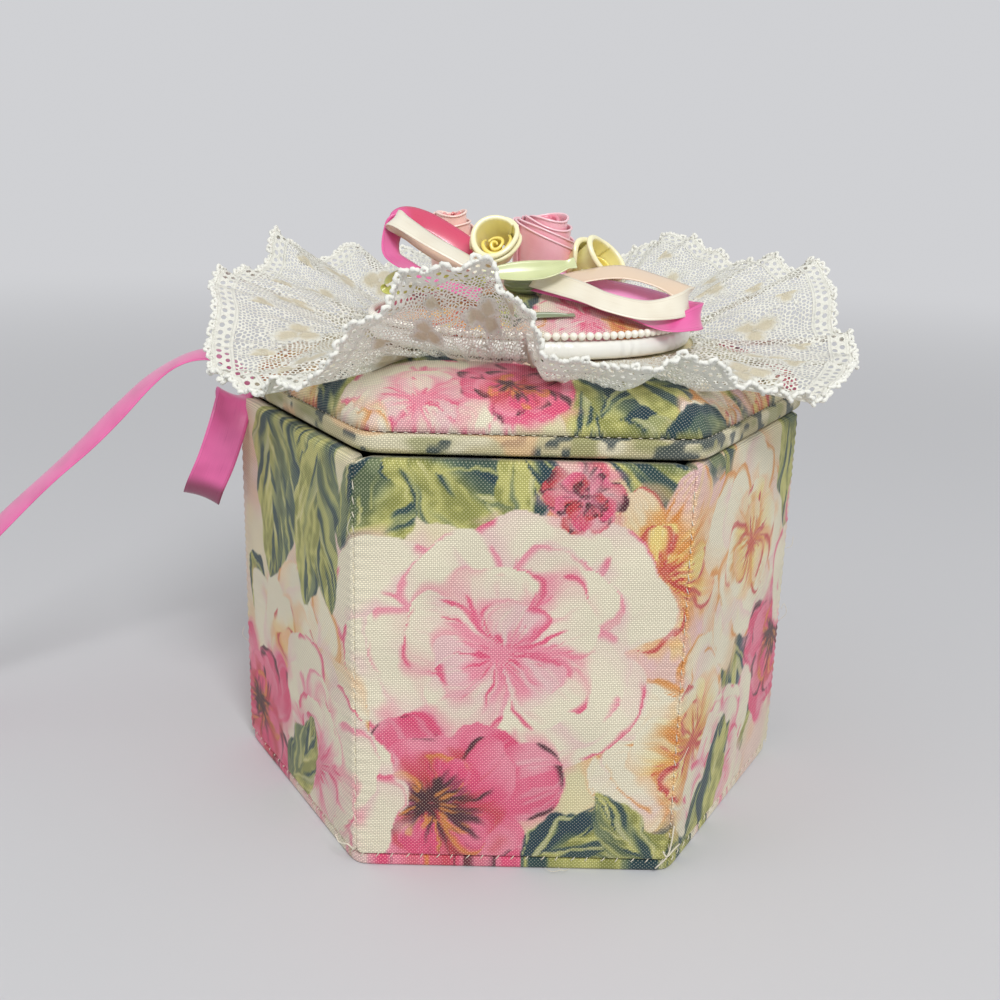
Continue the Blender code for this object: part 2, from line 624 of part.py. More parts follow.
def disc_height(radius):
    """Top of the padded disc at a distance from its middle."""
    share = min(radius / MEDALLION_R, 1.0)
    return SEAT_Z + MEDALLION_EDGE_H + MEDALLION_CROWN * (1.0 - share ** 2.4)


def build_medallion(parts, pivot):
    """Padded disc on its board, gathered heading band, strung pearls."""
    shares = (0.0, 0.22, 0.44, 0.62, 0.78, 0.90, 1.0)
    profile = [(share * MEDALLION_R, disc_height(share * MEDALLION_R)) for share in shares]
    profile.append((MEDALLION_R, SEAT_Z))
    board_r = MEDALLION_R - MEDALLION_BOARD_INSET
    profile.append((board_r, SEAT_Z))
    profile.append((board_r, SEAT_Z + MEDALLION_BOARD_T + GAP))
    profile.append((0.0, SEAT_Z + MEDALLION_BOARD_T + GAP))
    cover = turned("medallion_cover", profile, MEDALLION_STEPS, parts, "cover")
    bm = bmesh.new()
    bmesh.ops.create_cone(bm, cap_ends=True, segments=MEDALLION_STEPS, radius1=board_r - GAP,
                          radius2=board_r - GAP, depth=MEDALLION_BOARD_T)
    bmesh.ops.translate(bm, verts=bm.verts, vec=(0.0, 0.0, SEAT_Z + MEDALLION_BOARD_T / 2.0))
    board = add_object("medallion_board", mesh_from(bm, "medallion_board"), parts, "board")
    outer = HEADING_R + HEADING_T
    low = SEAT_Z
    high = SEAT_Z + HEADING_H
    middle = (low + high) / 2.0
    puff = HEADING_T / 3.0
    band = turned("lace_heading", [(HEADING_R, high), (outer - puff, high), (outer, middle),
                                   (outer - puff, low), (HEADING_R, low)],
                  MEDALLION_STEPS, parts, "satin_white", 0.45, closed=True)
    count = int(math.tau * PEARL_RING_R / PEARL_PITCH)
    data = bpy.data.curves.new("pearl_trim", "CURVE")
    data.dimensions = "3D"
    data.bevel_depth = PEARL_R
    data.bevel_resolution = 0
    data.render_resolution_u = 0
    spline = data.splines.new("POLY")
    spline.use_cyclic_u = True
    spline.points.add(2 * count - 1)
    for index, point in enumerate(spline.points):
        angle = math.tau * index / (2 * count)
        point.co = (PEARL_RING_R * math.cos(angle), PEARL_RING_R * math.sin(angle), PEARL_Z, 1.0)
        point.radius = 1.0 if index % 2 else PEARL_NECK_SHARE
    pearls = bpy.data.objects.new("pearl_trim", data)
    parts.objects.link(pearls)
    data.materials.append(material("pearl", "pearl_trim", 0.3, 0.0))
    for obj in (cover, board, band, pearls):
        lid_place(obj, pivot)


def lace_edge(bearing):
    """Reach, height and belly of the picot edge at a bearing in degrees."""
    table = LACE_EDGE_SHARES
    count = len(table)
    bearing %= 360.0
    index = max(i for i in range(count) if table[i][0] <= bearing)
    begin = table[index][0]
    end = table[(index + 1) % count][0] + (360.0 if index + 1 == count else 0.0)
    t = (bearing - begin) / (end - begin)
    rows = [table[(index + step) % count][1:] for step in (-1, 0, 1, 2)]
    values = []
    for a, b, c, d in zip(*rows):
        values.append(0.5 * (2.0 * b + (c - a) * t + (2.0 * a - 5.0 * b + 4.0 * c - d) * t ** 2
                             + (3.0 * b - a - 3.0 * c + d) * t ** 3))
    return values


def lid_top_height(x, y):
    """Top of the padded lid cover under a point, from its dome profile."""
    outward = max(abs(y), abs(x) * math.cos(TURN / 2.0) + abs(y) * math.sin(TURN / 2.0))
    share = outward / (APOTHEM - LID_COVER_INSET)
    if share >= 1.0:
        return BAND_TOP
    radii = DOME_RADIUS_SHARES
    heights = DOME_HEIGHT_SHARES
    for i in range(1, len(radii)):
        if share > radii[i]:
            t = (radii[i - 1] - share) / (radii[i - 1] - radii[i])
            return COVER_Z + LID_DOME_H * lerp(heights[i - 1], heights[i], t)
    return DOME_TOP


def build_lace(parts, pivot):
    """Gathered lace strip: sewn at its heading, flaring into its main folds."""
    base_z = BAND_TOP + LACE_BASE_H

    def place(u, v):
        bearing = 360.0 * u
        reach, lift, belly = lace_edge(bearing)
        radius = LACE_R + v * reach * LACE_REACH
        z = lerp(base_z, BAND_TOP + lift * LACE_LIFT, v ** 1.15)
        z += belly * LACE_SAG * math.sin(math.pi * v)
        angle = math.radians(bearing)
        x = radius * math.cos(angle)
        y = radius * math.sin(angle)
        z = max(z, lid_top_height(x, y) + LACE_T / 2.0 + 2.0 * GAP)
        return Vector((x, y, z))

    lace = add_object("lace_ruffle", grid_mesh(
        "lace_ruffle", LACE_COLUMNS, LACE_ROWS, place, closed=True), parts, "lace")
    thicken(lace, LACE_T)
    smooth(lace, 80.0)
    lid_place(lace, pivot)


def ribbon(name, points, across, width, thickness, steps, parts, key, rough=0.35, closed=False):
    """A flat ribbon along a smooth curve; across gives its width's way at each point."""

    def place(u, v):
        centre = through(points, u, closed)
        side = through(across, u, closed).normalized()
        return centre + side * (v - 0.5) * width

    obj = add_object(name, grid_mesh(name, steps, 2, place), parts, key, rough)
    thicken(obj, thickness)
    smooth(obj, 60.0)
    return obj


def on_disc(x, y, above):
    """A point over the padded disc, by its place in the lid's own frame."""
    return Vector((x, y, disc_height(math.hypot(x, y)) + TRIM_SEAT + above))


def build_bow(parts, pivot):
    """Nested narrow satin loops to the left and right of the roses, and their knot."""
    for name, (key, rows) in BOW_SHARES.items():
        points = [on_disc(x * MEDALLION_R, y * MEDALLION_R, z * MEDALLION_R)
                  for (x, y, z), way in rows]
        across = [Vector(way) for place, way in rows]
        obj = ribbon(name, points, across, BOW_W, RIBBON_T, BOW_STEPS, parts, key)
        lid_place(obj, pivot)

    def place(u, v):
        x = MEDALLION_R * lerp(KNOT_SPAN_SHARES[0], KNOT_SPAN_SHARES[1], u)
        y = MEDALLION_R * lerp(KNOT_DEEP_SHARES[0], KNOT_DEEP_SHARES[1], v)
        return on_disc(x, y, BOW_KNOT_T / 2.0)

    knot = add_object("bow_knot", grid_mesh("bow_knot", 4, 3, place), parts, "leaf_dark", 0.5)
    thicken(knot, BOW_KNOT_T)
    smooth(knot, 50.0)
    lid_place(knot, pivot)


def build_roses(parts, pivot):
    """Ribbon roses: one ribbon on edge, wound outwards, its top edge flaring."""
    for name, (key, under, lean, radius, height, turns) in ROSES.items():
        steps = int(turns * ROSE_STEPS_PER_TURN)

        def place(u, v, radius=radius, height=height, turns=turns):
            angle = math.tau * turns * u
            out = radius * lerp(ROSE_CORE_SHARE, 1.0, u)
            waist = ROSE_WAIST_SHARE + (1.0 - ROSE_WAIST_SHARE) * math.sin(math.pi * v) ** 0.5
            wide = out * waist * (1.0 + ROSE_FLARE_SHARE * u * v ** 3)
            up = v * height * (1.0 - ROSE_FALL_SHARE * u ** 2)
            return Vector((wide * math.cos(angle), wide * math.sin(angle), up))

        obj = add_object(name, grid_mesh(name, steps, ROSE_ROWS, place), parts, key, 0.4)
        thicken(obj, ROSE_T)
        smooth(obj, 60.0)
        obj.parent = pivot
        foot_x, foot_y = ROSE_FOOT_SHARES[name]
        seat = on_disc(foot_x * MEDALLION_R, foot_y * MEDALLION_R, under)
        tilt = Vector((math.radians(lean[0]), math.radians(lean[1])))
        drop = radius * ROSE_WAIST_SHARE * math.hypot(math.sin(tilt.x), math.sin(tilt.y))
        lid_middle = Vector((LID_SHIFT_X, LID_SHIFT_Y - HINGE_Y, -HINGE_Z))
        obj.location = lid_middle + seat + Vector((0.0, 0.0, GAP + drop))
        obj.rotation_euler = (tilt.x, tilt.y, 0.0)


def build_leaves(parts, pivot):
    """Folded satin leaves round the bow, pointed at both ends."""
    for name, (key, width, way) in LEAVES.items():
        points = [on_disc(x * MEDALLION_R, y * MEDALLION_R, z * MEDALLION_R)
                  for x, y, z in LEAF_POINT_SHARES[name]]
        side = Vector(way).normalized()

        def place(u, v, points=points, side=side, width=width):
            wide = width * max(math.sin(math.pi * u) ** 0.7, LEAF_END_SHARE)
            return through(points, u) + side * (v - 0.5) * wide

        obj = add_object(name, grid_mesh(name, LEAF_STEPS, 2, place), parts, key, 0.45)
        thicken(obj, LEAF_T)
        smooth(obj, 60.0)
        lid_place(obj, pivot)


def build_side_ribbon(parts):
    """Wide satin ribbon at the left corner: sewn fold, hanging loop and free tail."""
    angle = math.pi - TURN / 2.0
    outward = Vector((math.cos(angle), math.sin(angle), 0.0))
    corner = Vector((-CORNER_R, 0.0, 0.0))
    along = Vector((math.cos(TURN), math.sin(TURN), 0.0))
    centre = corner + along * KNOT_ALONG + outward * (KNOT_T / 2.0 + GAP + PANEL_CROWN / 2.0)
    centre.z = BODY_H - KNOT_DROP
    bm = bmesh.new()
    bmesh.ops.create_cube(bm, size=1.0)
    bmesh.ops.scale(bm, verts=bm.verts, vec=(KNOT_T, KNOT_W, KNOT_H))
    knot = add_object("side_ribbon_knot", mesh_from(bm, "side_ribbon_knot"), parts, "pink", 0.35)
    bevel(knot, KNOT_ROLL)
    knot.location = centre
    knot.rotation_euler.z = angle
    smooth(knot)
    loop_points = [Vector(p) * MM for p in LOOP_POINTS]
    tail_points = [Vector(p) * MM for p in TAIL_POINTS]
    loop_across = [Vector(p) for p in LOOP_ACROSS]
    tail_across = [Vector(p) for p in TAIL_ACROSS]
    ribbon("side_ribbon_loop", loop_points, loop_across, TAIL_W, RIBBON_T, LOOP_STEPS, parts, "pink")
    ribbon("side_ribbon_tail", tail_points, tail_across, TAIL_W, RIBBON_T, TAIL_STEPS, parts, "pink")


def main():
    clear_scene()
    parts = new_collection("fabric_jewelry_box")
    cutters = new_collection("cutters")
    pivot = bpy.data.objects.new("lid_hinge_line", None)
    pivot.location = (0.0, HINGE_Y, HINGE_Z)
    parts.objects.link(pivot)
    build_base(parts, cutters)
    build_walls(parts, cutters)
    build_hinge(parts)
    build_side_ribbon(parts)
    build_lid(parts, cutters, pivot)
    build_medallion(parts, pivot)
    build_lace(parts, pivot)
    build_bow(parts, pivot)
    build_roses(parts, pivot)
    build_leaves(parts, pivot)


main()
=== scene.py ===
"""Looks of the hexagonal fabric jewelry box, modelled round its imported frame."""

import math

import bmesh
import bpy
import numpy as np
from mathutils import Matrix, Vector


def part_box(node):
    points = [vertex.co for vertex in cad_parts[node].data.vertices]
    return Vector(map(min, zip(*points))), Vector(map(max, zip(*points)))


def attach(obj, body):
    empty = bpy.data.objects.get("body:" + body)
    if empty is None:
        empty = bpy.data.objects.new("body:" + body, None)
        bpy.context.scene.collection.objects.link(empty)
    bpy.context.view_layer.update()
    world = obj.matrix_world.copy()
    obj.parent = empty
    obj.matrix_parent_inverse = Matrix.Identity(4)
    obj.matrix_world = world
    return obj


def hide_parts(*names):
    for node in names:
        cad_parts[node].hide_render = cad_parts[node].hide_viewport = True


bl_info = {
    "name": "Fabric Jewelry Box",
    "version": (1, 0, 0),
    "blender": (4, 5, 0),
    "location": "View3D > Sidebar > Jewelry Box",
    "description": "Models a hexagonal jewelry box of printed cotton with lace, ribbons and pearls",
    "category": "Add Mesh",
}

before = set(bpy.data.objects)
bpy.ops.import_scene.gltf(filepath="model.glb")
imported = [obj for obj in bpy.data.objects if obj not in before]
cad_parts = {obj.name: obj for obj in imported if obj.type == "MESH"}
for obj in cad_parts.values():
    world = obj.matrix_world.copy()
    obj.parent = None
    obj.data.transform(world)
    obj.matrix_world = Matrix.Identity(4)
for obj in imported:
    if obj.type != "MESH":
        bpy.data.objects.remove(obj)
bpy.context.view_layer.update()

MM = 0.001
SIDES = 6
TURN = math.tau / SIDES
MITRE = math.tan(TURN / 2.0)

# The box, read from the frame
BASE_LOW, BASE_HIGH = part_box("base_cover")
PANEL_LOW, PANEL_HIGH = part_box("side_cover_front")
LINING_LOW, LINING_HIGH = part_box("side_lining_front")
BOARD_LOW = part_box("side_board_front")[0]
FLOOR_PAD_LOW, FLOOR_PAD_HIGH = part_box("base_lining_pad")
BAND_LOW, BAND_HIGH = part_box("lid_band_cover")
LID_LOW, LID_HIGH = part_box("lid_top_cover")
LID_LINING_LOW, LID_LINING_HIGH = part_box("lid_lining")
DISC_LOW, DISC_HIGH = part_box("medallion_cover")
DISC_BOARD_LOW, DISC_BOARD_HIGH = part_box("medallion_board")
HEADING_LOW, HEADING_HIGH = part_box("lace_heading")
PEARL_LOW, PEARL_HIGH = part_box("pearl_trim")

GAP = 0.3 * MM
APOTHEM = BASE_HIGH.y + GAP
SIDE = 2.0 * APOTHEM * MITRE
CORNER_R = APOTHEM / math.cos(TURN / 2.0)
COVER_DEPTH = APOTHEM + PANEL_HIGH.y
LID_X = (BAND_LOW.x + BAND_HIGH.x) / 2.0
LID_Y = (BAND_LOW.y + BAND_HIGH.y) / 2.0
LID_APOTHEM = (LID_HIGH.y - LID_LOW.y) / 2.0
DISC_R = (DISC_HIGH.x - DISC_LOW.x) / 2.0
PEARL_R = (PEARL_HIGH.z - PEARL_LOW.z) / 2.0
PEARL_RING_R = (PEARL_HIGH.x - PEARL_LOW.x) / 2.0 - PEARL_R
PEARL_Z = (PEARL_HIGH.z + PEARL_LOW.z) / 2.0
SIDE_NAMES = ("front", "front_right", "back_right", "back", "back_left", "front_left")

# The trim; the lace's width along its folds is LACE_WIDTH
DISC_SIDE = 5.6 * MM
TRIM_SEAT = 0.3 * MM
WIDE_SATIN_THICK = 0.3 * MM
SATIN_THICK = 0.26 * MM
LACE_THICK = 0.14 * MM
LACE_WIDTH = 44.0 * MM
LACE_R = 44.0 * MM
LACE_REACH = 40.0 * MM
LACE_LIFT = 30.0 * MM
LACE_SAG = 5.0 * MM
LACE_SHEER = 0.22
PICOT_THICK = 0.50 * MM

# Camera, fitted to the photograph's corners
CAMERA_AT = (-7.40 * MM, -320.36 * MM, 166.11 * MM)
CAMERA_YAW = 0.00851
CAMERA_DOWN = 0.27946
CAMERA_ROLL = 0.02675
CAMERA_SENSOR = 36.0
CAMERA_FOCAL = 43.05

# Lamps: place, size and power
LAMPS = {
    "key_light": ((0.26, -1.10, 1.12), 0.50, 12.8),
    "fill_light": ((-1.10, -0.45, 0.80), 1.0, 1.2),
}
LAMP_AIM = (0.0, 0.0, 0.08)
SKY_LIGHT = 0.56
FLOOR_SIZE = 14.0
FLOOR_FADE = (0.25, 1.5)


def length(name, default, description):
    return bpy.props.FloatProperty(name=name, description=description, default=default,
                                   unit="LENGTH", precision=5)


def tint(name, default, description):
    return bpy.props.FloatVectorProperty(name=name, description=description, size=3,
                                         subtype="COLOR_GAMMA", min=0.0, max=1.0, default=default)


class JewelryBoxSizes(bpy.types.PropertyGroup):
    grid: length("Cloth grid", 0.42 * MM, "Spacing of the points on printed cloth")
    weave: length("Thread pitch", 0.46 * MM, "Distance between two threads of the cotton")
    edge_roll: length("Edge roll", 0.62 * MM, "Round of a side panel's edges")
    panel_corner: length("Panel corner", 1.6 * MM, "Round of a side panel's corners")
    pucker: length("Pucker depth", 0.15 * MM, "How far the seams draw the cotton in")
    seam_pitch: length("Seam stitch pitch", 3.3 * MM, "From one corner stitch to the next")
    whip_pitch: length("Whip stitch pitch", 3.6 * MM, "From one whip stitch of the base to the next")
    thread: length("Thread radius", 0.17 * MM, "Radius of the sewing thread")
    pearl_pitch: length("Pearl pitch", 2.1 * MM, "From one pearl to the next")
    lace_net: length("Net size", 1.25 * MM, "Width of one cell of the lace's net")
    tooth: length("Picot pitch", 2.4 * MM, "From one picot of the lace's edge to the next")
    motif: length("Lace motif", 25.0 * MM, "From one lace motif to the next")
    narrow_ribbon: length("Narrow ribbon", 6.0 * MM, "Width of the bow's ribbon")
    wide_ribbon: length("Wide ribbon", 10.0 * MM, "Width of the ribbon at the corner")


class JewelryBoxColours(bpy.types.PropertyGroup):
    ground: tint("Ground", (0.930, 0.900, 0.800), "Cream ground of the print")
    blush: tint("Blush", (0.925, 0.770, 0.770), "Palest petals")
    pink: tint("Pink", (0.945, 0.560, 0.650), "Pink petals")
    magenta: tint("Magenta", (0.905, 0.320, 0.490), "Deepest pink of the petals")
    plum: tint("Plum", (0.240, 0.110, 0.160), "Hearts of the flowers")
    peach: tint("Peach", (0.940, 0.745, 0.560), "Peach petals")
    orange: tint("Orange", (0.880, 0.560, 0.270), "Orange streaks")
    yellow: tint("Yellow", (0.950, 0.850, 0.520), "Yellow of the stamens")
    red: tint("Red", (0.780, 0.240, 0.270), "Small red blossoms")
    olive: tint("Olive", (0.580, 0.590, 0.310), "Leaves")
    lime: tint("Lime", (0.790, 0.780, 0.470), "Lit parts of the leaves")
    teal: tint("Teal", (0.100, 0.230, 0.290), "Shaded parts of the leaves")
    lining: tint("Lining", (0.900, 0.880, 0.815), "Cotton lining")
    lace: tint("Lace", (0.990, 0.990, 0.956), "Threads of the lace")
    lace_cloth: tint("Lace cloth", (0.910, 0.880, 0.785), "Close-woven parts of the lace")
    thread: tint("Thread", (0.930, 0.900, 0.820), "Sewing thread")
    pearl: tint("Pearl", (0.975, 0.955, 0.895), "Pearl trim")
    white_satin: tint("White satin", (0.955, 0.950, 0.925), "Gathered heading band")
    pink_satin: tint("Pink satin", (0.935, 0.400, 0.670), "Wide ribbon and pink loops")
    cream_satin: tint("Cream satin", (0.940, 0.915, 0.840), "Cream loops")
    yellow_satin: tint("Yellow satin", (0.990, 0.960, 0.690), "Yellow roses")
    rose_satin: tint("Rose satin", (1.000, 0.755, 0.800), "Large rose")
    peach_satin: tint("Peach satin", (1.000, 0.845, 0.800), "Peach rose")
    sage_satin: tint("Sage satin", (0.855, 0.880, 0.670), "Pale leaves")
    # Used for the bow knot too, where its darkness is partly painted shade under the sage leaf.
    green_satin: tint("Green satin", (0.520, 0.560, 0.420), "Dark leaf and bow knot")
    floor: tint("Floor", (0.815, 0.818, 0.830), "Floor and backdrop")


def sizes():
    return bpy.context.scene.jewelry_box_sizes


def colours():
    return bpy.context.scene.jewelry_box_colours


def linear(colour):
    """Scene-linear values of a display colour."""
    c = np.asarray(colour, float)
    return np.where(c <= 0.04045, c / 12.92, ((c + 0.055) / 1.055) ** 2.4)


def ink(colour, share=1.0):
    """A display colour, or a share of its light, as a shader's socket takes it."""
    return tuple(linear(colour) * share)


def lerp(a, b, t):
    return a + (b - a) * t


def dyed(colour, dye, share):
    """Colours with a share of another laid over each."""
    return lerp(colour, dye, share[:, None])


def ease(low, high, x):
    """0 below low, 1 above high, smooth between; low may be the larger one."""
    t = np.clip((x - low) / (high - low), 0.0, 1.0)
    return t * t * (3.0 - 2.0 * t)


def grain(x, y, seed):
    """Smooth repeatable noise from 0 to 1."""
    ix, iy = np.floor(x), np.floor(y)
    fx, fy = x - ix, y - iy
    fx = fx * fx * (3.0 - 2.0 * fx)
    fy = fy * fy * (3.0 - 2.0 * fy)

    def corner(dx, dy):
        n = np.sin((ix + dx) * 127.1 + (iy + dy) * 311.7 + seed * 74.7) * 43758.5453
        return n - np.floor(n)

    low = lerp(corner(0, 0), corner(1, 0), fx)
    high = lerp(corner(0, 1), corner(1, 1), fx)
    return lerp(low, high, fy)


class Value:
    """A shader socket whose Python operators add Math nodes."""

    def __init__(self, paint, socket):
        self.paint = paint
        self.socket = socket

    def math(self, operation, *others):
        return self.paint.math(operation, self, *others)

    def __add__(self, other):
        return self.math("ADD", other)

    __radd__ = __add__

    def __sub__(self, other):
        return self.math("SUBTRACT", other)

    def __rsub__(self, other):
        return self.paint.math("SUBTRACT", other, self)

    def __mul__(self, other):
        return self.math("MULTIPLY", other)

    __rmul__ = __mul__

    def __truediv__(self, other):
        return self.math("DIVIDE", other)

    def __abs__(self):
        return self.math("ABSOLUTE")

    def __gt__(self, other):
        return self.math("GREATER_THAN", other)

    def __lt__(self, other):
        return self.math("LESS_THAN", other)

    def __pow__(self, other):
        return self.math("POWER", other)

    def sin(self):
        return self.math("SINE")

    def min(self, other):
        return self.math("MINIMUM", other)

    def max(self, other):
        return self.math("MAXIMUM", other)

    def span(self, other):
        """Length of the diagonal of two sides."""
        return (self * self + other * other) ** 0.5

    def wrap(self, period):
        """The value's place from 0 to period in a repeat."""
        return self.math("WRAP", period, 0.0)

    def ease(self, low, high):
        """0 below low, 1 above high, smooth between."""
        node = self.paint.node("ShaderNodeMapRange", {"interpolation_type": "SMOOTHSTEP"},
                               {"Value": self, "From Min": low, "From Max": high})
        return Value(self.paint, node.outputs["Result"])


class Paint:
    """A material or world, and the nodes that make it."""

    def __init__(self, owner):
        self.owner = owner
        owner.use_nodes = True
        self.tree = owner.node_tree
        self.shader = self.tree.nodes.get("Principled BSDF")

    def put(self, socket, value):
        if isinstance(value, Value):
            self.tree.links.new(value.socket, socket)
        elif socket.type == "RGBA" and len(value) == 3:
            socket.default_value = (*value, 1.0)
        else:
            socket.default_value = value

    def node(self, kind, settings=None, values=None):
        made = self.tree.nodes.new(kind)
        for key, setting in (settings or {}).items():
            setattr(made, key, setting)
        for key, value in (values or {}).items():
            self.put(made.inputs[key], value)
        return made

    def math(self, operation, *values):
        made = self.node("ShaderNodeMath", {"operation": operation}, dict(enumerate(values)))
        return Value(self, made.outputs[0])

    def mix(self, share, a, b):
        """Colour a turning to colour b."""
        made = self.node("ShaderNodeMix", {"data_type": "RGBA"}, {0: share, 6: a, 7: b})
        return Value(self, made.outputs[2])

    def shade(self, colour, factor):
        """A colour times a value."""
        made = self.node("ShaderNodeVectorMath", {"operation": "SCALE"}, {0: colour, "Scale": factor})
        return Value(self, made.outputs[0])

    def attribute(self, name):
        return Value(self, self.node("ShaderNodeAttribute", {"attribute_name": name}).outputs["Color"])

    def split(self, vector):
        made = self.node("ShaderNodeSeparateXYZ", None, {0: vector})
        return [Value(self, made.outputs[i]) for i in range(3)]

    def cloth_place(self):
        """The point's place on the flat cloth, in metres."""
        return Value(self, self.node("ShaderNodeUVMap", {"uv_map": "cloth"}).outputs[0])

    def object_place(self):
        return Value(self, self.node("ShaderNodeTexCoord").outputs["Object"])

    def noise(self, place, size, detail=2.0, rough=0.5):
        made = self.node("ShaderNodeTexNoise", None, {"Vector": place, "Scale": 1.0 / size,
                                                      "Detail": detail, "Roughness": rough})
        return Value(self, made.outputs["Fac"])

    def streaks(self, x, y, size_x, size_y, detail=2.0):
        """Noise drawn out along one way of the cloth."""
        drawn = self.node("ShaderNodeCombineXYZ", None, {0: x / size_x, 1: y / size_y})
        return self.noise(Value(self, drawn.outputs[0]), 1.0, detail)

    def bump(self, height, distance, strength=1.0):
        values = {"Height": height, "Distance": distance, "Strength": strength}
        return Value(self, self.node("ShaderNodeBump", None, values).outputs[0])

    def seen(self):
        """1 for what the camera, a gloss or glass sees, and 0 for what only gives light."""
        path = self.node("ShaderNodeLightPath")
        camera, glossy, clear = [Value(self, path.outputs[f"Is {ray} Ray"])
                                 for ray in ("Camera", "Glossy", "Transmission")]
        return camera.max(glossy).max(clear)

    def blend(self, share, a, b):
        """Shader a turning to shader b."""
        return self.node("ShaderNodeMixShader", None, {
            0: share, 1: Value(self, a.outputs[0]), 2: Value(self, b.outputs[0])})

    def show(self, shader):
        """Puts a shader on the surface, or on the sky of a world."""
        output = self.tree.nodes.get("Material Output") or self.tree.nodes["World Output"]
        self.tree.links.new(shader.outputs[0], output.inputs["Surface"])
        return self.owner

    def finish_shader(self, **inputs):
        for key, value in inputs.items():
            self.put(self.shader.inputs[key.replace("_", " ")], value)
        return self.shader

    def finish(self, **inputs):
        self.finish_shader(**inputs)
        return self.owner


def weave(paint, x, y, pitch):
    """Height of a plain weave, and where its weft lies on top."""
    wander = paint.streaks(x, y, 9.0 * MM, 9.0 * MM, 1.0)
    a = x * (math.pi / pitch) + wander * 3.0
    b = y * (math.pi / pitch) + wander * 2.0
    sin_a, sin_b = a.sin(), b.sin()
    warp, weft = abs(sin_a), abs(sin_b)
    over = (sin_a * sin_b).ease(-0.12, 0.12)
    weft_top = weft * (warp * 0.5 + 0.5)
    warp_top = warp * (weft * 0.4 + 0.12)
    height = over * weft_top + (1.0 - over) * warp_top
    return height, over * weft * warp


def cotton(name, plain=None, rough=0.92):
    """Woven cotton: the print's colour, or one plain colour, with painted shade in the weave's hollows
    and a painted highlight where its threads cross.
    """
    paint = Paint(bpy.data.materials.new(name))
    place = paint.cloth_place()
    x, y, _ = paint.split(place)
    height, knot = weave(paint, x, y, sizes().weave)
    slub_x = paint.streaks(x, y, 14.0 * MM, 0.55 * MM, 1.0)
    slub_y = paint.streaks(x, y, 0.6 * MM, 12.0 * MM, 1.0)
    if plain is None:
        dye, light, share = paint.attribute("print"), ink(colours().ground, 1.04), 0.30
    else:
        dye, light, share = ink(plain), ink(plain, 1.08), 0.2
    # Painted shade: the dye darkens with the weave's height, in the hollows between the threads and over
    # the lower warp; the slubs vary it at random.
    weave_shaded_dye = paint.shade(dye, height * 0.80 + slub_x * 0.10 + slub_y * 0.05 + 0.49)
    # Painted highlight: where the threads cross, the colour is lightened toward a cream brighter than the
    # cloth itself.
    colour = paint.mix(knot.ease(0.25, 0.95) * share, weave_shaded_dye, light)
    fuzz = paint.noise(place, 0.35 * MM, 2.0, 0.7)
    normal = paint.bump(height + slub_x * 0.5 + fuzz * 0.25, 0.11 * MM, 0.9)
    return paint.finish(Base_Color=colour, Roughness=rough, Normal=normal, Sheen_Weight=0.12,
                        Sheen_Roughness=0.6, Specular_IOR_Level=0.25)


def satin(name, colour, width, deep=None, inner=None, rim=None):
    """Satin ribbon: long floats, a faint rib and a woven edge at each side.

    inner is a colour of painted shade (painted light where it is the lighter one), with the start and end
    of the stretch it covers; rim is a painted highlight that lightens a folded edge at y = 0.
    """
    paint = Paint(bpy.data.materials.new(name))
    place = paint.cloth_place()
    x, y, _ = paint.split(place)
    floats = paint.streaks(x, y, 9.0 * MM, 0.14 * MM, 2.0)
    rib = (x * (math.pi / (0.40 * MM))).sin()
    edge = abs(y).ease(width / 2.0 - 0.70 * MM, width / 2.0 - 0.45 * MM)
    line = 1.0 - abs(abs(y) - (width / 2.0 - 0.75 * MM)).ease(0.0, 0.16 * MM)
    base = ink(colour)
    low = ink(colour if deep is None else deep, 0.9)
    tone = floats * 0.35 + paint.noise(place, 7.0 * MM, 1.0) * 0.65
    mixed = paint.mix(tone.ease(0.62, 0.30) * 0.26, base, low)
    if inner is not None:
        # Painted shade over a stretch of the ribbon, where a strand lies in shade; a lighter colour there
        # is painted light.
        shade, begin, end, axis = inner
        along = x if axis == "x" else y
        soft = 0.12 * (end - begin)
        part = along.ease(begin, begin + soft) * along.ease(end, end - soft)
        mixed = paint.mix(part * 0.85, mixed, ink(shade))
    # Painted highlight along the rolled rim of a folded edge.
    if rim is not None:
        mixed = paint.mix(y.ease(-0.6 * MM, 0.1 * MM) * 0.7, mixed, ink(rim))
    mixed = paint.mix(line * 0.30, mixed, low)
    height = floats * 0.35 + rib * (edge * 0.5 + 0.06)
    normal = paint.bump(height, 0.03 * MM, 0.5)
    rough = floats * 0.08 + edge * 0.22 + 0.25
    return paint.finish(Base_Color=mixed, Roughness=rough, Normal=normal, Sheen_Weight=0.2,
                        Sheen_Roughness=0.35, Specular_IOR_Level=0.8, Coat_Weight=0.5,
                        Coat_Roughness=0.22)


def thread_paint(name, colour):
    """Twisted sewing thread."""
    paint = Paint(bpy.data.materials.new(name))
    x, y, z = paint.split(paint.object_place())
    twist = ((x + y + z) * (math.tau / (0.5 * MM))).sin()
    fuzz = paint.noise(paint.object_place(), 0.3 * MM, 2.0)
    # Painted shade: darker bands along the grooves of the twist, varied at random by the fuzz.
    base = paint.mix(twist * 0.2 + 0.25 + fuzz * 0.2, ink(colour), ink(colour, 0.62))
    return paint.finish(Base_Color=base, Roughness=0.75, Normal=paint.bump(twist, 0.05 * MM, 0.6),
                        Sheen_Weight=0.1)


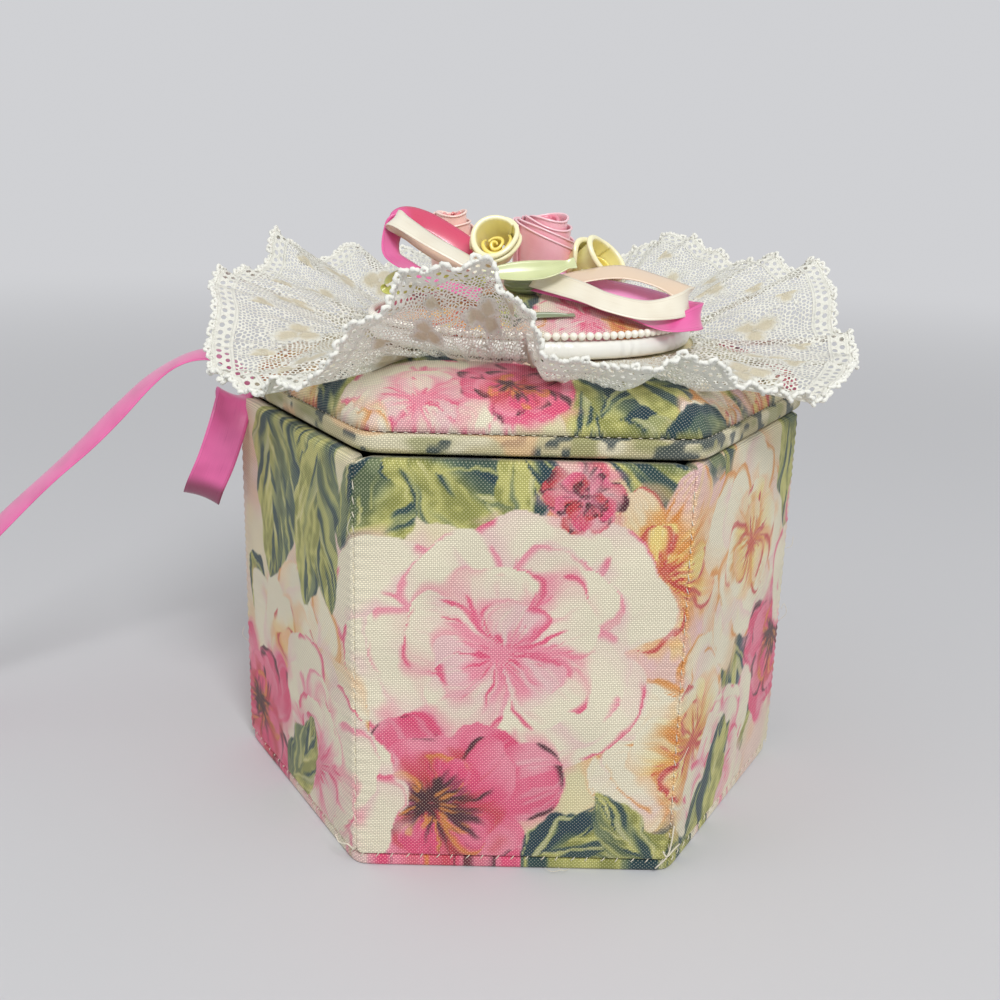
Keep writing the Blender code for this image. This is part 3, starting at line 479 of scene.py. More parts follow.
def board_paint(name, colour):
    """Grey board with flecks and pressed fibres."""
    paint = Paint(bpy.data.materials.new(name))
    place = paint.object_place()
    fibre = paint.noise(place, 0.8 * MM, 4.0, 0.7)
    fleck = paint.noise(place, 3.0 * MM, 3.0, 0.6).ease(0.6, 0.72)
    base = paint.mix(fibre, colour, tuple(c * 0.7 for c in colour))
    base = paint.mix(fleck * 0.4, base, tuple(c * 0.45 for c in colour))
    return paint.finish(Base_Color=base, Roughness=0.92, Normal=paint.bump(fibre, 0.1 * MM, 0.5))


def pearl_paint(name):
    """Soft pearly beads."""
    paint = Paint(bpy.data.materials.new(name))
    place = paint.object_place()
    cloud = paint.noise(place, 1.6 * MM, 2.0)
    mixed = paint.mix(cloud.ease(0.35, 0.7), ink(colours().pearl), ink((0.985, 0.965, 0.93)))
    return paint.finish(Base_Color=mixed, Roughness=0.2, Coat_Weight=0.5, Coat_Roughness=0.15,
                        Specular_IOR_Level=0.6)


def lace_paint(name, width):
    """Hexagonal net with woven flowers, rows of dots and a looped picot edge, cut by its alpha."""
    size = sizes().lace_net
    paint = Paint(bpy.data.materials.new(name))
    place = paint.cloth_place()
    x, y, _ = paint.split(place)
    wander = paint.noise(place, 5.0 * MM, 2.0) - 0.5
    px = x / size + wander * 2.2
    py = y / size + (paint.noise(place, 4.0 * MM, 1.0) - 0.5) * 1.8
    root = math.sqrt(3.0)

    def cell(shift):
        cx = (px + shift * 0.5).wrap(1.0) - 0.5
        cy = (py + shift * 0.5 * root).wrap(root) - 0.5 * root
        cx, cy = abs(cx), abs(cy)
        return cx.max(cx * 0.5 + cy * (root / 2.0))

    wall = 0.5 - cell(0.0).min(cell(1.0))
    close = (paint.noise(place, 4.0 * MM, 2.0) - 0.5) * 0.30
    net = 1.0 - (wall - close).ease(0.125, 0.185)

    motif = sizes().motif
    cell_x = x.wrap(motif) - motif / 2.0

    def flower(at_x, at_y, reach, petals, half_long, half_wide):
        """Distance measures of a flower: 1 on a petal's line, and of the dots round it."""
        dx = cell_x - at_x
        dy = y - at_y
        far = dx.span(dy)
        bearing = paint.math("ARCTAN2", dy, dx)

        def spot(count, ring):
            """How far out and aside of the nearest spot in a ring of them."""
            step = math.tau / count
            fold = bearing.wrap(step) - step / 2.0
            return far * paint.math("COSINE", fold) - ring, far * fold.sin()

        out, aside = spot(petals, reach)
        petal = (out / half_long).span(aside / half_wide)
        out, aside = spot(petals * 2, reach + half_long + 1.5 * MM)
        return petal, out.span(aside), far

    big, big_dots, big_far = flower(0.0, 0.50 * width, 3.0 * MM, 3, 4.0 * MM, 3.3 * MM)
    side, side_dots, side_far = flower(0.5 * motif - 0.6 * MM, 0.70 * width, 1.7 * MM, 3,
                                       2.4 * MM, 2.2 * MM)
    ragged = (paint.noise(place, 1.9 * MM, 3.0) - 0.5) * 0.9
    nearest = big.min(side) + ragged
    solid = 1.0 - nearest.ease(0.86, 1.0)
    worn = paint.noise(place, 0.9 * MM, 1.0).ease(0.35, 0.5)
    outline = (1.0 - abs(nearest - 1.08).ease(0.10, 0.26)) * worn
    dot = big_dots.min(side_dots)
    dots = 1.0 - dot.ease(0.55 * MM, 0.72 * MM)
    rings = 1.0 - abs(big_far.min(side_far) - 0.75 * MM).ease(0.22 * MM, 0.36 * MM)
    spray = (x * (math.tau / motif)).sin() * 3.2 * MM + 0.16 * width
    vine = 1.0 - abs(y - spray + wander * 3.0 * MM).ease(0.3 * MM, 0.5 * MM)

    rise = width - y
    tooth = sizes().tooth
    hem = 1.0 - rise.ease(1.0 * MM, 1.3 * MM)

    def eyelets(shift, at, radius):
        far = ((x + shift * tooth).wrap(tooth) - tooth / 2.0).span(rise - at)
        return (far + wander * 0.5 * MM).ease(radius - 0.1 * MM, radius + 0.1 * MM)

    band = eyelets(0.0, 2.1 * MM, 0.68 * MM).min(eyelets(0.5, 4.1 * MM, 0.62 * MM))
    band = (rise > 0.9 * MM) * (rise < 5.2 * MM) * band
    cord = 1.0 - abs(rise - 5.4 * MM).ease(0.30 * MM, 0.5 * MM)
    inside = rise > 5.2 * MM
    heading = 1.0 - y.ease(1.6 * MM, 2.0 * MM)

    tight = abs((x * (math.pi / (0.34 * MM))).sin()) * abs((y * (math.pi / (0.34 * MM))).sin())
    lines = net.max(outline).max(dots).max(rings).max(vine).max(solid) * inside
    cover = lines.max(hem).max(cord).max(band).max(heading)
    thick = outline.max(dots).max(rings).max(vine) * inside
    thick = thick.max(cord).max(hem * 0.7) * 0.9 + net * 0.45 + band * 0.3
    fuzz = paint.noise(place, 0.3 * MM, 2.0, 0.7)
    flat_part = (1.0 - nearest.ease(0.45, 1.05)) * (1.0 - dots)
    base = paint.mix(flat_part, ink(colours().lace), ink(colours().lace_cloth))
    # Painted highlight: the thick, raised threads and cords are lighter than the fine net; the fuzz
    # varies it at random.
    base = paint.shade(base, (thick * 0.10 + fuzz * 0.08 + 0.93).min(1.0))
    normal = paint.bump(thick + fuzz * 0.3 + tight * 0.15, 0.22 * MM, 1.0)
    alpha = cover.ease(0.35, 0.65)
    skin = paint.finish_shader(Base_Color=base, Roughness=0.8, Alpha=alpha, Normal=normal,
                               Sheen_Weight=0.2, Specular_IOR_Level=0.3)
    glow = paint.node("ShaderNodeBsdfTranslucent", None, {"Color": base})
    thin = paint.blend(alpha, paint.node("ShaderNodeBsdfTransparent"), glow)
    return paint.show(paint.blend(LACE_SHEER, skin, thin))


def lace_thread(name):
    """Thick, fluffy cotton of the picot loops."""
    paint = Paint(bpy.data.materials.new(name))
    place = paint.object_place()
    fuzz = paint.noise(place, 0.35 * MM, 3.0, 0.7)
    base = paint.shade(ink(colours().lace), fuzz * 0.25 + 0.80)
    return paint.finish(Base_Color=base, Roughness=0.8, Normal=paint.bump(fuzz, 0.14 * MM, 1.0),
                        Sheen_Weight=0.3, Specular_IOR_Level=0.3)


# Printed cotton, painted in millimetres on the flat cloth
class Cloth:
    """Points of a piece of cotton on the flat print, and the colour at each."""

    def __init__(self, x, y):
        self.x = x + 1.7 * (grain(x / 6.0, y / 6.0, 61) - 0.5) + 0.7 * (grain(x / 1.7, y / 1.7, 62) - 0.5)
        self.y = y + 1.7 * (grain(x / 6.0, y / 6.0, 63) - 0.5) + 0.7 * (grain(x / 1.7, y / 1.7, 64) - 0.5)
        self.tint = {key: np.array(getattr(colours(), key)) for key in
                     ("ground", "blush", "pink", "magenta", "plum", "peach", "orange", "yellow",
                      "red", "olive", "lime", "teal")}
        wash = 0.6 * grain(x / 17.0, y / 17.0, 3) + 0.4 * grain(x / 6.0, y / 6.0, 4)
        self.colour = dyed(self.tint["ground"], self.tint["ground"] * (0.98, 0.95, 0.90), wash)
        for key, size, seed, share in (("blush", 27.0, 8, 0.55), ("peach", 31.0, 18, 0.40),
                                       ("lime", 36.0, 28, 0.28)):
            place = 0.7 * grain(x / size, y / size, seed) + 0.3 * grain(x / 7.0, y / 7.0, seed + 1)
            self.colour = dyed(self.colour, self.tint[key], share * ease(0.52, 0.72, place))

    def near(self, x, y, reach):
        return np.nonzero((np.abs(self.x - x) < reach) & (np.abs(self.y - y) < reach))[0]

    def local(self, x, y, turn, reach):
        """The points near a place, and how far along and aside of a way from there each lies."""
        index = self.near(x, y, reach)
        dx = self.x[index] - x
        dy = self.y[index] - y
        c, s = math.cos(turn), math.sin(turn)
        return index, dx * c + dy * s, dy * c - dx * s

    def lay(self, index, mask, colour):
        self.colour[index] = dyed(self.colour[index], colour, mask)

    def petal(self, x, y, turn, size, wide, tints, seed, bend):
        """A petal from its foot; tints are body, tip, flame, deep flame, shade round it, and light."""
        body, tip, flame, deep_flame, shade, light = [self.tint[t] for t in tints]
        index, along, aside = self.local(x, y, turn, 1.25 * size)
        aside = aside - bend * along * np.abs(along) / size
        way = along / size
        ripple = grain(aside / wide * 3.0 + 9.0, way * 1.5, seed) - 0.5
        end = np.clip(way + 0.16 * ripple, 0.0, 1.0)
        half = 0.5 * wide * np.clip(way, 0.0, 1.0) ** 0.5 * np.sqrt(1.0 - end ** 6)
        deep = np.minimum(half - np.abs(aside), np.minimum((1.04 - way) * size, along + 1.0))
        patch = ease(0.3, 0.62, grain(along / 9.0, aside / 9.0, seed + 2))
        self.lay(index, 0.62 * (ease(-4.2, 0.2, deep) * (deep < 0.3) * patch), shade)
        mask = ease(-0.1, 0.45, deep)
        across = aside / np.maximum(half, 0.05)
        tone = way + 0.5 * (grain(across * 1.3 + 3.0, way * 2.2, seed + 5) - 0.5)
        colour = dyed(body, tip, ease(0.25, 0.95, tone))
        cloud = ease(0.45, 0.75, grain(along / 8.0, aside / 6.0, seed + 7))
        colour = dyed(colour, light, 0.55 * cloud)
        fold = ease(0.25, 1.0, across) * ease(0.0, 0.5, way)
        colour = dyed(colour, shade, 0.42 * fold)
        rays = grain(across * 3.6 + 20.0 + 0.6 * way, way * 1.1, seed + 9)
        colour = dyed(colour, flame, 0.85 * ease(0.0, 0.30, rays - 0.10 - 0.95 * way))
        rays = grain(across * 7.5 + 40.0 - 0.8 * way, way * 1.7, seed + 10)
        colour = dyed(colour, deep_flame, 0.92 * ease(0.0, 0.14, rays - 0.36 - 0.85 * way))
        lick = grain(along / 7.0 + 3.0, across * 2.0, seed + 13)
        lick = ease(0.56, 0.66, lick) * ease(3.1, 1.2, deep + 1.4 * np.abs(ripple)) * ease(0.2, 0.45, way)
        colour = dyed(colour, deep_flame, 0.85 * lick)
        streak = grain(across * 14.0 + 9.0, way * 2.6, seed + 14)
        colour = dyed(colour, light, 0.35 * ease(0.66, 0.82, streak))
        colour = dyed(colour, flame, 0.30 * ease(0.30, 0.16, streak) * ease(1.0, 0.3, way))
        self.lay(index, mask, colour)

    def bloom(self, x, y, size, turn, tints, seed, rings, squash):
        """A full flower: rings of petals laid from the outside in."""
        for ring, (count, reach, wide) in enumerate(rings):
            for k in range(count):
                jitter = grain(k * 3.7, ring * 5.3, seed) - 0.5
                angle = turn + math.tau * (k + 0.5 * (ring % 2)) / count + 0.5 * jitter
                out = size * reach * (1.0 + 0.24 * jitter)
                flat = math.hypot(math.cos(angle), squash * math.sin(angle))
                foot_x = x + 0.06 * size * math.cos(angle)
                foot_y = y + 0.06 * size * math.sin(angle) - 0.14 * size * ring / len(rings)
                self.petal(foot_x, foot_y, angle, out * flat, size * wide, tints[ring % len(tints)],
                           seed + 31 * ring + 7 * k, 0.5 * jitter)

    def stroke(self, x0, y0, x1, y1, wide, colour, share):
        """A tapered brush stroke."""
        size = math.hypot(x1 - x0, y1 - y0)
        index = self.near((x0 + x1) / 2.0, (y0 + y1) / 2.0, size / 2.0 + wide)
        ux, uy = (x1 - x0) / size, (y1 - y0) / size
        dx = self.x[index] - x0
        dy = self.y[index] - y0
        way = (dx * ux + dy * uy) / size
        aside = np.abs(dy * ux - dx * uy)
        half = wide * np.clip(way, 0.0, 1.0) ** 0.4 * np.clip(1.0 - way, 0.0, 1.0) ** 0.8
        mask = ease(-0.15, 0.4, half - aside) * (way > 0.0) * (way < 1.0) * share
        self.lay(index, mask, self.tint[colour])

    def heart(self, x, y, size, dark, fleck, seed, share):
        """A flower's dark middle, frayed outwards, and its flecks of pollen."""
        index, dx, dy = self.local(x, y, 0.0, 2.0 * size)
        dy = dy / 0.7
        far = np.hypot(dx, dy) / size
        bearing = np.arctan2(dy, dx)
        fray = grain(bearing * 3.2 + 30.0, far * 0.7, seed)
        fray = fray + 0.5 * grain(bearing * 9.0, far * 1.4, seed + 1)
        self.lay(index, share * ease(1.0, 0.35, far + 1.1 * (fray - 0.75)), self.tint[dark])
        for k in range(11):
            jitter = grain(k * 2.3, 4.1, seed + 2)
            angle = math.tau * k / 11 + 1.6 * jitter
            inner = size * (0.20 + 0.75 * jitter)
            outer = inner + size * (0.22 + 0.45 * (1.0 - jitter))
            self.stroke(x + inner * math.cos(angle), y + 0.7 * inner * math.sin(angle),
                        x + outer * math.cos(angle), y + 0.7 * outer * math.sin(angle),
                        0.13 * size, fleck, 0.85)

    def leaf(self, x, y, size, turn, seed):
        """A pointed leaf, lit on one side and dark on the other, with feathered side veins."""
        wide = 0.52 * size
        bend = 0.25 * math.sin(seed)
        dark_share = 0.45 + 0.5 * (seed % 3) / 2.0
        index, along, aside = self.local(x, y, turn, 1.1 * size)
        aside = aside - bend * along * (size - along) / size
        way = np.clip(along / size, 0.0, 1.0)
        notch = grain(way * 7.0, np.sign(aside) * 2.0, seed) - 0.5
        half = 0.5 * wide * np.sin(math.pi * way ** 0.8) ** 0.7 * (1.0 + 0.35 * notch)
        deep = half - np.abs(aside)
        mask = ease(-0.1, 0.45, deep) * (along > 0.0) * (along < size)
        across = aside / np.maximum(half, 0.05)
        mottle = 0.6 * grain(along / 5.0, aside / 3.0, seed + 4)
        mottle = mottle + 0.4 * grain(along / 1.8, aside / 1.5, seed + 5)
        colour = dyed(self.tint["olive"], self.tint["lime"], ease(0.3, 0.7, mottle))
        side = across + 1.1 * (grain(way * 3.0, across * 1.5, seed + 3) - 0.5)
        colour = dyed(colour, self.tint["teal"], ease(-0.1, 0.5, side) * dark_share)
        slant = along / 6.0 - np.abs(across) * 2.6
        rays = grain(slant * 1.6, np.sign(across) * 3.0 + np.abs(across) * 1.2, seed + 6)
        colour = dyed(colour, self.tint["teal"], 0.85 * ease(0.55, 0.72, rays))
        rays = grain(slant * 2.7 + 5.0, np.sign(across) * 5.0 + np.abs(across), seed + 7)
        colour = dyed(colour, self.tint["lime"], 0.75 * ease(0.62, 0.78, rays))
        colour = dyed(colour, self.tint["ground"], 0.35 * ease(0.80, 0.92, rays))
        self.lay(index, mask, colour)

    def finished(self):
        """The colours in scene-linear values, with an uneven, slightly faded ink."""
        fade = 0.05 * (grain(self.x / 9.0, self.y / 9.0, 21) - 0.5)
        colour = self.colour * (1.0 + fade)[:, None]
        return linear(np.clip(colour, 0.0, 1.0))


FULL = ((6, 1.00, 1.05), (5, 0.80, 0.92), (5, 0.58, 0.70), (3, 0.38, 0.52))
OPEN = ((6, 1.00, 1.00), (5, 0.76, 0.84), (4, 0.52, 0.62))
STAR = ((6, 1.00, 0.70), (5, 0.76, 0.58), (4, 0.50, 0.44))

BLUSH_TINTS = (("ground", "ground", "blush", "magenta", "blush", "ground"),
               ("ground", "ground", "blush", "pink", "blush", "ground"),
               ("blush", "ground", "pink", "magenta", "pink", "ground"),
               ("blush", "blush", "pink", "magenta", "pink", "ground"))
PINK_TINTS = (("pink", "magenta", "magenta", "plum", "pink", "blush"),
              ("magenta", "pink", "red", "plum", "magenta", "pink"),
              ("magenta", "magenta", "plum", "orange", "red", "pink"))
PEACH_TINTS = (("peach", "blush", "orange", "orange", "blush", "yellow"),
               ("yellow", "peach", "orange", "red", "peach", "ground"),
               ("yellow", "yellow", "orange", "red", "orange", "ground"))
CREAM_TINTS = (("ground", "ground", "yellow", "orange", "peach", "ground"),
               ("ground", "ground", "peach", "orange", "blush", "ground"),
               ("yellow", "ground", "orange", "red", "peach", "ground"),
               ("yellow", "peach", "orange", "red", "orange", "ground"))
RED_TINTS = (("red", "red", "plum", "plum", "pink", "pink"),
             ("red", "magenta", "plum", "plum", "blush", "pink"))

# Flowers: tints, rings of petals, how flat, then the heart's place, size, two tints and share
FLOWERS = {
    "blush": (BLUSH_TINTS, FULL, 0.84, None),
    "cream": (CREAM_TINTS, FULL, 0.84, (0.0, -0.12, 0.16, "red", "orange", 0.7)),
    "pink": (PINK_TINTS, OPEN, 0.84, (-0.1, 0.0, 0.34, "plum", "orange", 0.85)),
    "peach": (PEACH_TINTS, STAR, 0.9, (0.0, 0.0, 0.24, "red", "yellow", 0.6)),
    "red": (RED_TINTS, OPEN, 0.95, (0.0, 0.0, 0.20, "plum", "blush", 0.6)),
}

# What is printed and where: kind, x, y, size, turn, seed
WALL_PRINT = (
    ("leaf", -6, 78, 40, 0.9, 201), ("leaf", 6, 104, 38, -0.5, 202), ("leaf", 34, 106, 34, -1.1, 203),
    ("leaf", 58, 104, 40, -0.2, 204), ("leaf", 82, 104, 34, -1.5, 205), ("leaf", 52, 14, 40, -0.2, 206),
    ("leaf", 44, 2, 40, 0.35, 207), ("leaf", 84, -4, 38, 1.0, 208), ("leaf", -22, 2, 38, 0.4, 209),
    ("leaf", 4, 52, 26, 2.0, 231), ("leaf", 92, 40, 40, -0.8, 232),
    ("peach", 70, 78, 27, 0.2, 13), ("cream", 84, 34, 30, 0.5, 42), ("blush", 34, 60, 38, 0.4, 11),
    ("pink", 20, 18, 27, 1.1, 12), ("red", 52, 94, 9, 0.3, 14), ("leaf", 40, 1, 30, 0.5, 233),
    ("leaf", 76, 0, 28, 2.3, 234),
    ("leaf", -70, 60, 40, -0.8, 212), ("cream", -34, 38, 34, 0.9, 16), ("blush", -22, 20, 32, 0.7, 43),
    ("pink", -64, 16, 24, 0.2, 17), ("leaf", -14, 110, 54, -1.85, 213), ("leaf", -30, 108, 50, -1.5, 210),
    ("leaf", -20, 104, 44, -1.35, 231), ("leaf", -44, 110, 54, -1.75, 235),
    ("leaf", -58, 108, 50, -1.4, 234), ("leaf", -44, 2, 34, 0.9, 237),
    ("leaf", 96, 104, 40, -0.9, 214), ("leaf", 104, 60, 40, -1.2, 215), ("leaf", 112, 8, 36, 0.9, 216),
    ("cream", 118, 76, 30, 0.5, 19), ("pink", 146, 40, 24, 0.6, 20), ("blush", 106, 16, 24, 0.3, 45),
    ("leaf", 86, 4, 34, 0.7, 238), ("leaf", 98, 0, 32, 1.3, 239), ("leaf", 142, 106, 46, -1.3, 240),
    ("leaf", 150, 100, 40, -0.7, 217), ("leaf", 158, 4, 36, 0.3, 218),
    ("blush", 178, 60, 36, 0.1, 22), ("leaf", 196, 100, 40, -0.4, 219), ("leaf", 196, 4, 36, 2.6, 220),
    ("peach", 214, 30, 27, 0.8, 23), ("pink", 234, 78, 27, 0.3, 24), ("leaf", 240, 44, 40, -0.9, 221),
    ("red", 204, 78, 10, 0.8, 25), ("leaf", 256, 96, 38, 0.2, 222), ("cream", 268, 34, 31, 0.7, 26),
    ("leaf", 288, 70, 38, 1.9, 223), ("blush", 314, 68, 36, 0.6, 27), ("leaf", 296, 6, 36, 0.4, 224),
    ("pink", 338, 24, 27, 0.9, 28), ("leaf", 346, 96, 38, -0.5, 225), ("peach", 366, 66, 28, 0.1, 29),
    ("leaf", 362, 20, 36, 0.5, 226),
)
LID_PRINT = (
    ("leaf", -30, -30, 38, 5.0, 301), ("leaf", 6, -44, 34, 5.0, 302), ("leaf", 14, -66, 44, 0.1, 305),
    ("leaf", 20, -52, 44, -0.25, 308), ("leaf", 66, -22, 38, 4.1, 311), ("leaf", -66, -20, 34, 4.5, 306),
    ("peach", -58, -44, 22, 0.9, 32), ("leaf", -54, -66, 36, 1.2, 317), ("blush", -26, -60, 22, 0.4, 31),
    ("pink", -4, -56, 13, 0.2, 33), ("cream", -48, -70, 15, 0.2, 41), ("cream", 50, -60, 17, 0.3, 34),
    ("leaf", 30, -74, 34, 0.6, 314), ("peach", 66, -34, 17, 0.1, 42), ("peach", -74, -8, 18, 0.1, 35),
    ("pink", 74, 2, 20, 0.9, 36), ("leaf", 66, 20, 36, 1.4, 308), ("blush", 48, 50, 24, 0.2, 37),
    ("leaf", 18, 66, 38, -0.4, 309), ("peach", 6, 60, 22, 0.5, 38), ("leaf", -26, 66, 36, 0.4, 310),
    ("pink", -38, 54, 22, 0.1, 39), ("leaf", -68, 30, 36, 1.1, 312), ("cream", -70, 16, 22, 0.6, 40),
)
DISC_PRINT = (
    ("blush", 14, -30, 22, 0.3, 51), ("peach", -16, -28, 20, 0.6, 52), ("red", 31, -16, 6, 0.4, 53),
    ("leaf", -2, -12, 26, 4.6, 401), ("blush", 32, 8, 18, 0.2, 54), ("leaf", 10, 12, 30, 0.4, 402),
    ("cream", -6, 24, 20, 0.1, 55), ("pink", -30, 6, 18, 0.7, 56), ("leaf", -34, 22, 28, 0.9, 403),
    ("peach", 22, -32, 6, 0.9, 57),
)


def print_cotton(flat, layout):
    """Colours of the print at places on the flat cloth."""
    cloth = Cloth(*(flat / MM).T)
    for kind, at_x, at_y, size, turn, seed in layout:
        if not len(cloth.near(at_x, at_y, 2.0 * size)):
            continue
        if kind == "leaf":
            cloth.leaf(at_x, at_y, size, turn, seed)
            continue
        tints, rings, squash, heart = FLOWERS[kind]
        cloth.bloom(at_x, at_y, size, turn, tints, seed, rings, squash)
        if heart is not None:
            aside, up, reach, dark, fleck, share = heart
            cloth.heart(at_x + aside * size, at_y + up * size, reach * size, dark, fleck, seed, share)
    return cloth.finished()


def make_piece(name, shape, paint, body, nodes=(), shades=None):
    """A mesh piece in the frame; its shape is points, faces and places on the flat cloth.

    shades are the print's colours.
    """
    points, faces, cloth = shape
    mesh = bpy.data.meshes.new(name)
    mesh.from_pydata(np.asarray(points).tolist(), [], faces)
    if cloth is not None:
        corner = np.zeros(len(mesh.loops), np.int32)
        mesh.loops.foreach_get("vertex_index", corner)
        layer = mesh.uv_layers.new(name="cloth")
        layer.data.foreach_set("uv", np.asarray(cloth, np.float32)[corner].ravel())
    if shades is not None:
        layer = mesh.color_attributes.new("print", "FLOAT_COLOR", "POINT")
        rgba = np.ones((len(points), 4), np.float32)
        rgba[:, :3] = shades
        layer.data.foreach_set("color", rgba.ravel())
    mesh.update()
    bm = bmesh.new()
    bm.from_mesh(mesh)
    bmesh.ops.recalc_face_normals(bm, faces=bm.faces)
    bm.to_mesh(mesh)
    bm.free()
    mesh.shade_smooth()
    piece = bpy.data.objects.new(name, mesh)
    bpy.context.scene.collection.objects.link(piece)
    mesh.materials.append(paint)
    settle(piece, body, nodes)
    return piece


def settle(piece, body, nodes=()):
    """Rides the piece on its body and hides the frame's parts that it stands for."""
    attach(piece, body)
    if nodes:
        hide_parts(*nodes)


def grid_faces(rows, columns, wrap_rows=False, wrap_columns=False):
    """Quads of a grid whose points are stored row by row."""
    r, c = np.meshgrid(np.arange(rows if wrap_rows else rows - 1),
                       np.arange(columns if wrap_columns else columns - 1), indexing="ij")
    r2, c2 = (r + 1) % rows, (c + 1) % columns
    quads = np.stack([r * columns + c, r * columns + c2, r2 * columns + c2, r2 * columns + c], -1)
    return quads.reshape(-1, 4).tolist()


def grid_rim(rows, columns):
    """The points round the edge of a grid, in order."""
    index = np.arange(rows * columns).reshape(rows, columns)
    return np.concatenate([index[0, :-1], index[:-1, -1], index[-1, :0:-1], index[:0:-1, 0]])


def rings_faces(rings, count):
    """Quads between closed rings of points, and a face over the first and the last ring."""
    faces = grid_faces(rings, count, wrap_columns=True)
    faces.append(list(range(count)))
    faces.append(list(range((rings - 1) * count, rings * count)))
    return faces


def skirt(points, faces, loop, rings):
    """Adds rings of points below a rim and closes the last one."""
    start = len(points)
    last = loop
    for ring in rings:
        current = np.arange(start, start + len(loop))
        faces += np.stack([last, np.roll(last, -1), np.roll(current, -1), current], -1).tolist()
        last = current
        start += len(ring)
    faces.append(last.tolist())
    return np.concatenate([points, *rings])


def polar(radius, angle, height):
    """Points at a distance from the middle, a bearing and a height."""
    return np.stack(np.broadcast_arrays(radius * np.cos(angle), radius * np.sin(angle), height), -1)


def runs(points):
    """How far along a line of points each one lies."""
    return np.concatenate([[0.0], np.cumsum(np.linalg.norm(np.diff(points, axis=0), axis=1))])


def run_length(points):
    return float(runs(points)[-1])


def folds(angle, count, sway, slow, shift=0.0):
    """Uneven gathers round a circle, from -1 to 1; sway and slow vary their pitch."""
    return np.sin(angle * count + sway * np.sin(angle * slow) + shift)


def rolled_off(inside, roll):
    """How far a rolled edge drops, by the distance inside the edge."""
    return roll - np.sqrt(np.clip(roll ** 2 - np.clip(roll - inside, 0.0, roll) ** 2, 0.0, None))


def turned(angle, axis):
    return Matrix.Rotation(angle, 4, axis)


def turned_about(points, angle):
    c, s = math.cos(angle), math.sin(angle)
    x, y, z = np.asarray(points).T
    return np.stack([x * c - y * s, x * s + y * c, z], -1)


def edge_lines(half, step, roll):
    """Places of grid lines from -half to half, closer together over the rolled edges."""
    arc_steps = 5
    inner = half - roll
    count = max(2, int(2.0 * inner / step))
    flat = np.linspace(-inner, inner, count + 1)
    arc = inner + roll * np.sin(np.linspace(0.0, math.pi / 2.0, arc_steps + 1)[1:])
    return np.concatenate([-arc[::-1], flat, arc])


def panel_block(depth_front, depth_back, foot, head, corner, roll, crown, step, seam, pucker,
                pocket, seed, head_roll=0.0):
    """A padded panel in the front wall's place: points, faces and flat places.

    Depths are measured inwards from the outer wall. The front is the padded face, and head_roll
    rounds its top edge.
    """
    way = math.copysign(1.0, depth_back - depth_front)

    def half_at(depth):
        return SIDE / 2.0 - depth * MITRE - seam

    half_x = half_at(depth_front + way * roll)
    half_z = (head - foot) / 2.0
    x, z = np.meshgrid(edge_lines(half_x, step, roll), edge_lines(half_z, step, roll))
    flat = np.stack([x.ravel() * (SIDE / 2.0 / half_x), z.ravel() + half_z + foot], -1)
    ax = np.clip((np.abs(x) - (half_x - corner)) / corner, 0.0, 1.0)
    az = np.clip((np.abs(z) - (half_z - corner)) / corner, 0.0, 1.0)
    bx = ax * np.sqrt(1.0 - az * az / 2.0)
    bz = az * np.sqrt(1.0 - ax * ax / 2.0)
    both = (ax > 0.0) & (az > 0.0)
    near = np.where(both, corner * (1.0 - np.hypot(bx, bz)),
                    np.minimum(half_x - np.abs(x), half_z - np.abs(z)))
    x = np.where(both, np.sign(x) * (half_x - corner + corner * bx), x)
    z = np.where(both, np.sign(z) * (half_z - corner + corner * bz), z)
    over = rolled_off(half_z - z, head_roll)
    x = x * (1.0 - over * MITRE / half_x)
    sunk = np.maximum(rolled_off(near, roll), over)
    swell = crown * (1.0 - (x / half_x) ** 4) * (1.0 - (z / half_z) ** 4)
    draw = pucker * np.exp(-np.clip(half_x - np.abs(x), 0.0, None) / (2.6 * MM)) * np.sin(
        math.tau * (z + 1.1 * MM * np.sin(z / (7.0 * MM) + seed)) / (2.4 * MM))
    hollow = 2.2 * pucker * (grain(x / (21.0 * MM) + 40.0, z / (26.0 * MM) + 40.0, seed) - 0.5)
    hollow *= ease(0.0, 9.0 * MM, near)
    y = -APOTHEM + depth_front + way * (sunk - swell - draw - hollow)
    front = np.stack([x, y, z + half_z + foot], -1).reshape(-1, 3)
    faces = grid_faces(*x.shape)
    loop = grid_rim(*x.shape)
    border = front[loop]
    middle = np.array([0.0, 0.0, half_z + foot])

    def ring(inset, depth):
        """The outline at another depth, drawn in from the mitred edge there."""
        made = (border - middle) * ((half_at(depth) - inset) / half_x, 1.0, 1.0 - inset / half_z)
        made[:, 1] = -APOTHEM + depth
        return made + middle

    rings = [ring(0.0, depth_back)]
    if pocket is not None:
        rim, floor = pocket
        rings += [ring(rim, depth_back), ring(rim, floor)]
    sideways = np.sign(border[:, :1]) * (1.0, 0.0)
    upwards = np.sign(border[:, 2:] - middle[2]) * (0.0, 1.0)
    beyond = np.where(np.abs(border[:, :1]) > half_x - 1.0 * MM, sideways, upwards)
    flats = [flat[loop] + beyond * np.linalg.norm(one - border, axis=1, keepdims=True) for one in rings]
    return skirt(front, faces, loop, rings), faces, np.concatenate([flat, *flats])


def hexagon_reach(bearing, apothem, power=50.0):
    """Distance to a rounded hexagon with a corner on +X, by bearing."""
    sides = [np.clip(np.cos(bearing - TURN * (k + 0.5)), 0.0, None) ** power for k in range(SIDES)]
    return apothem * sum(sides) ** (-1.0 / power)


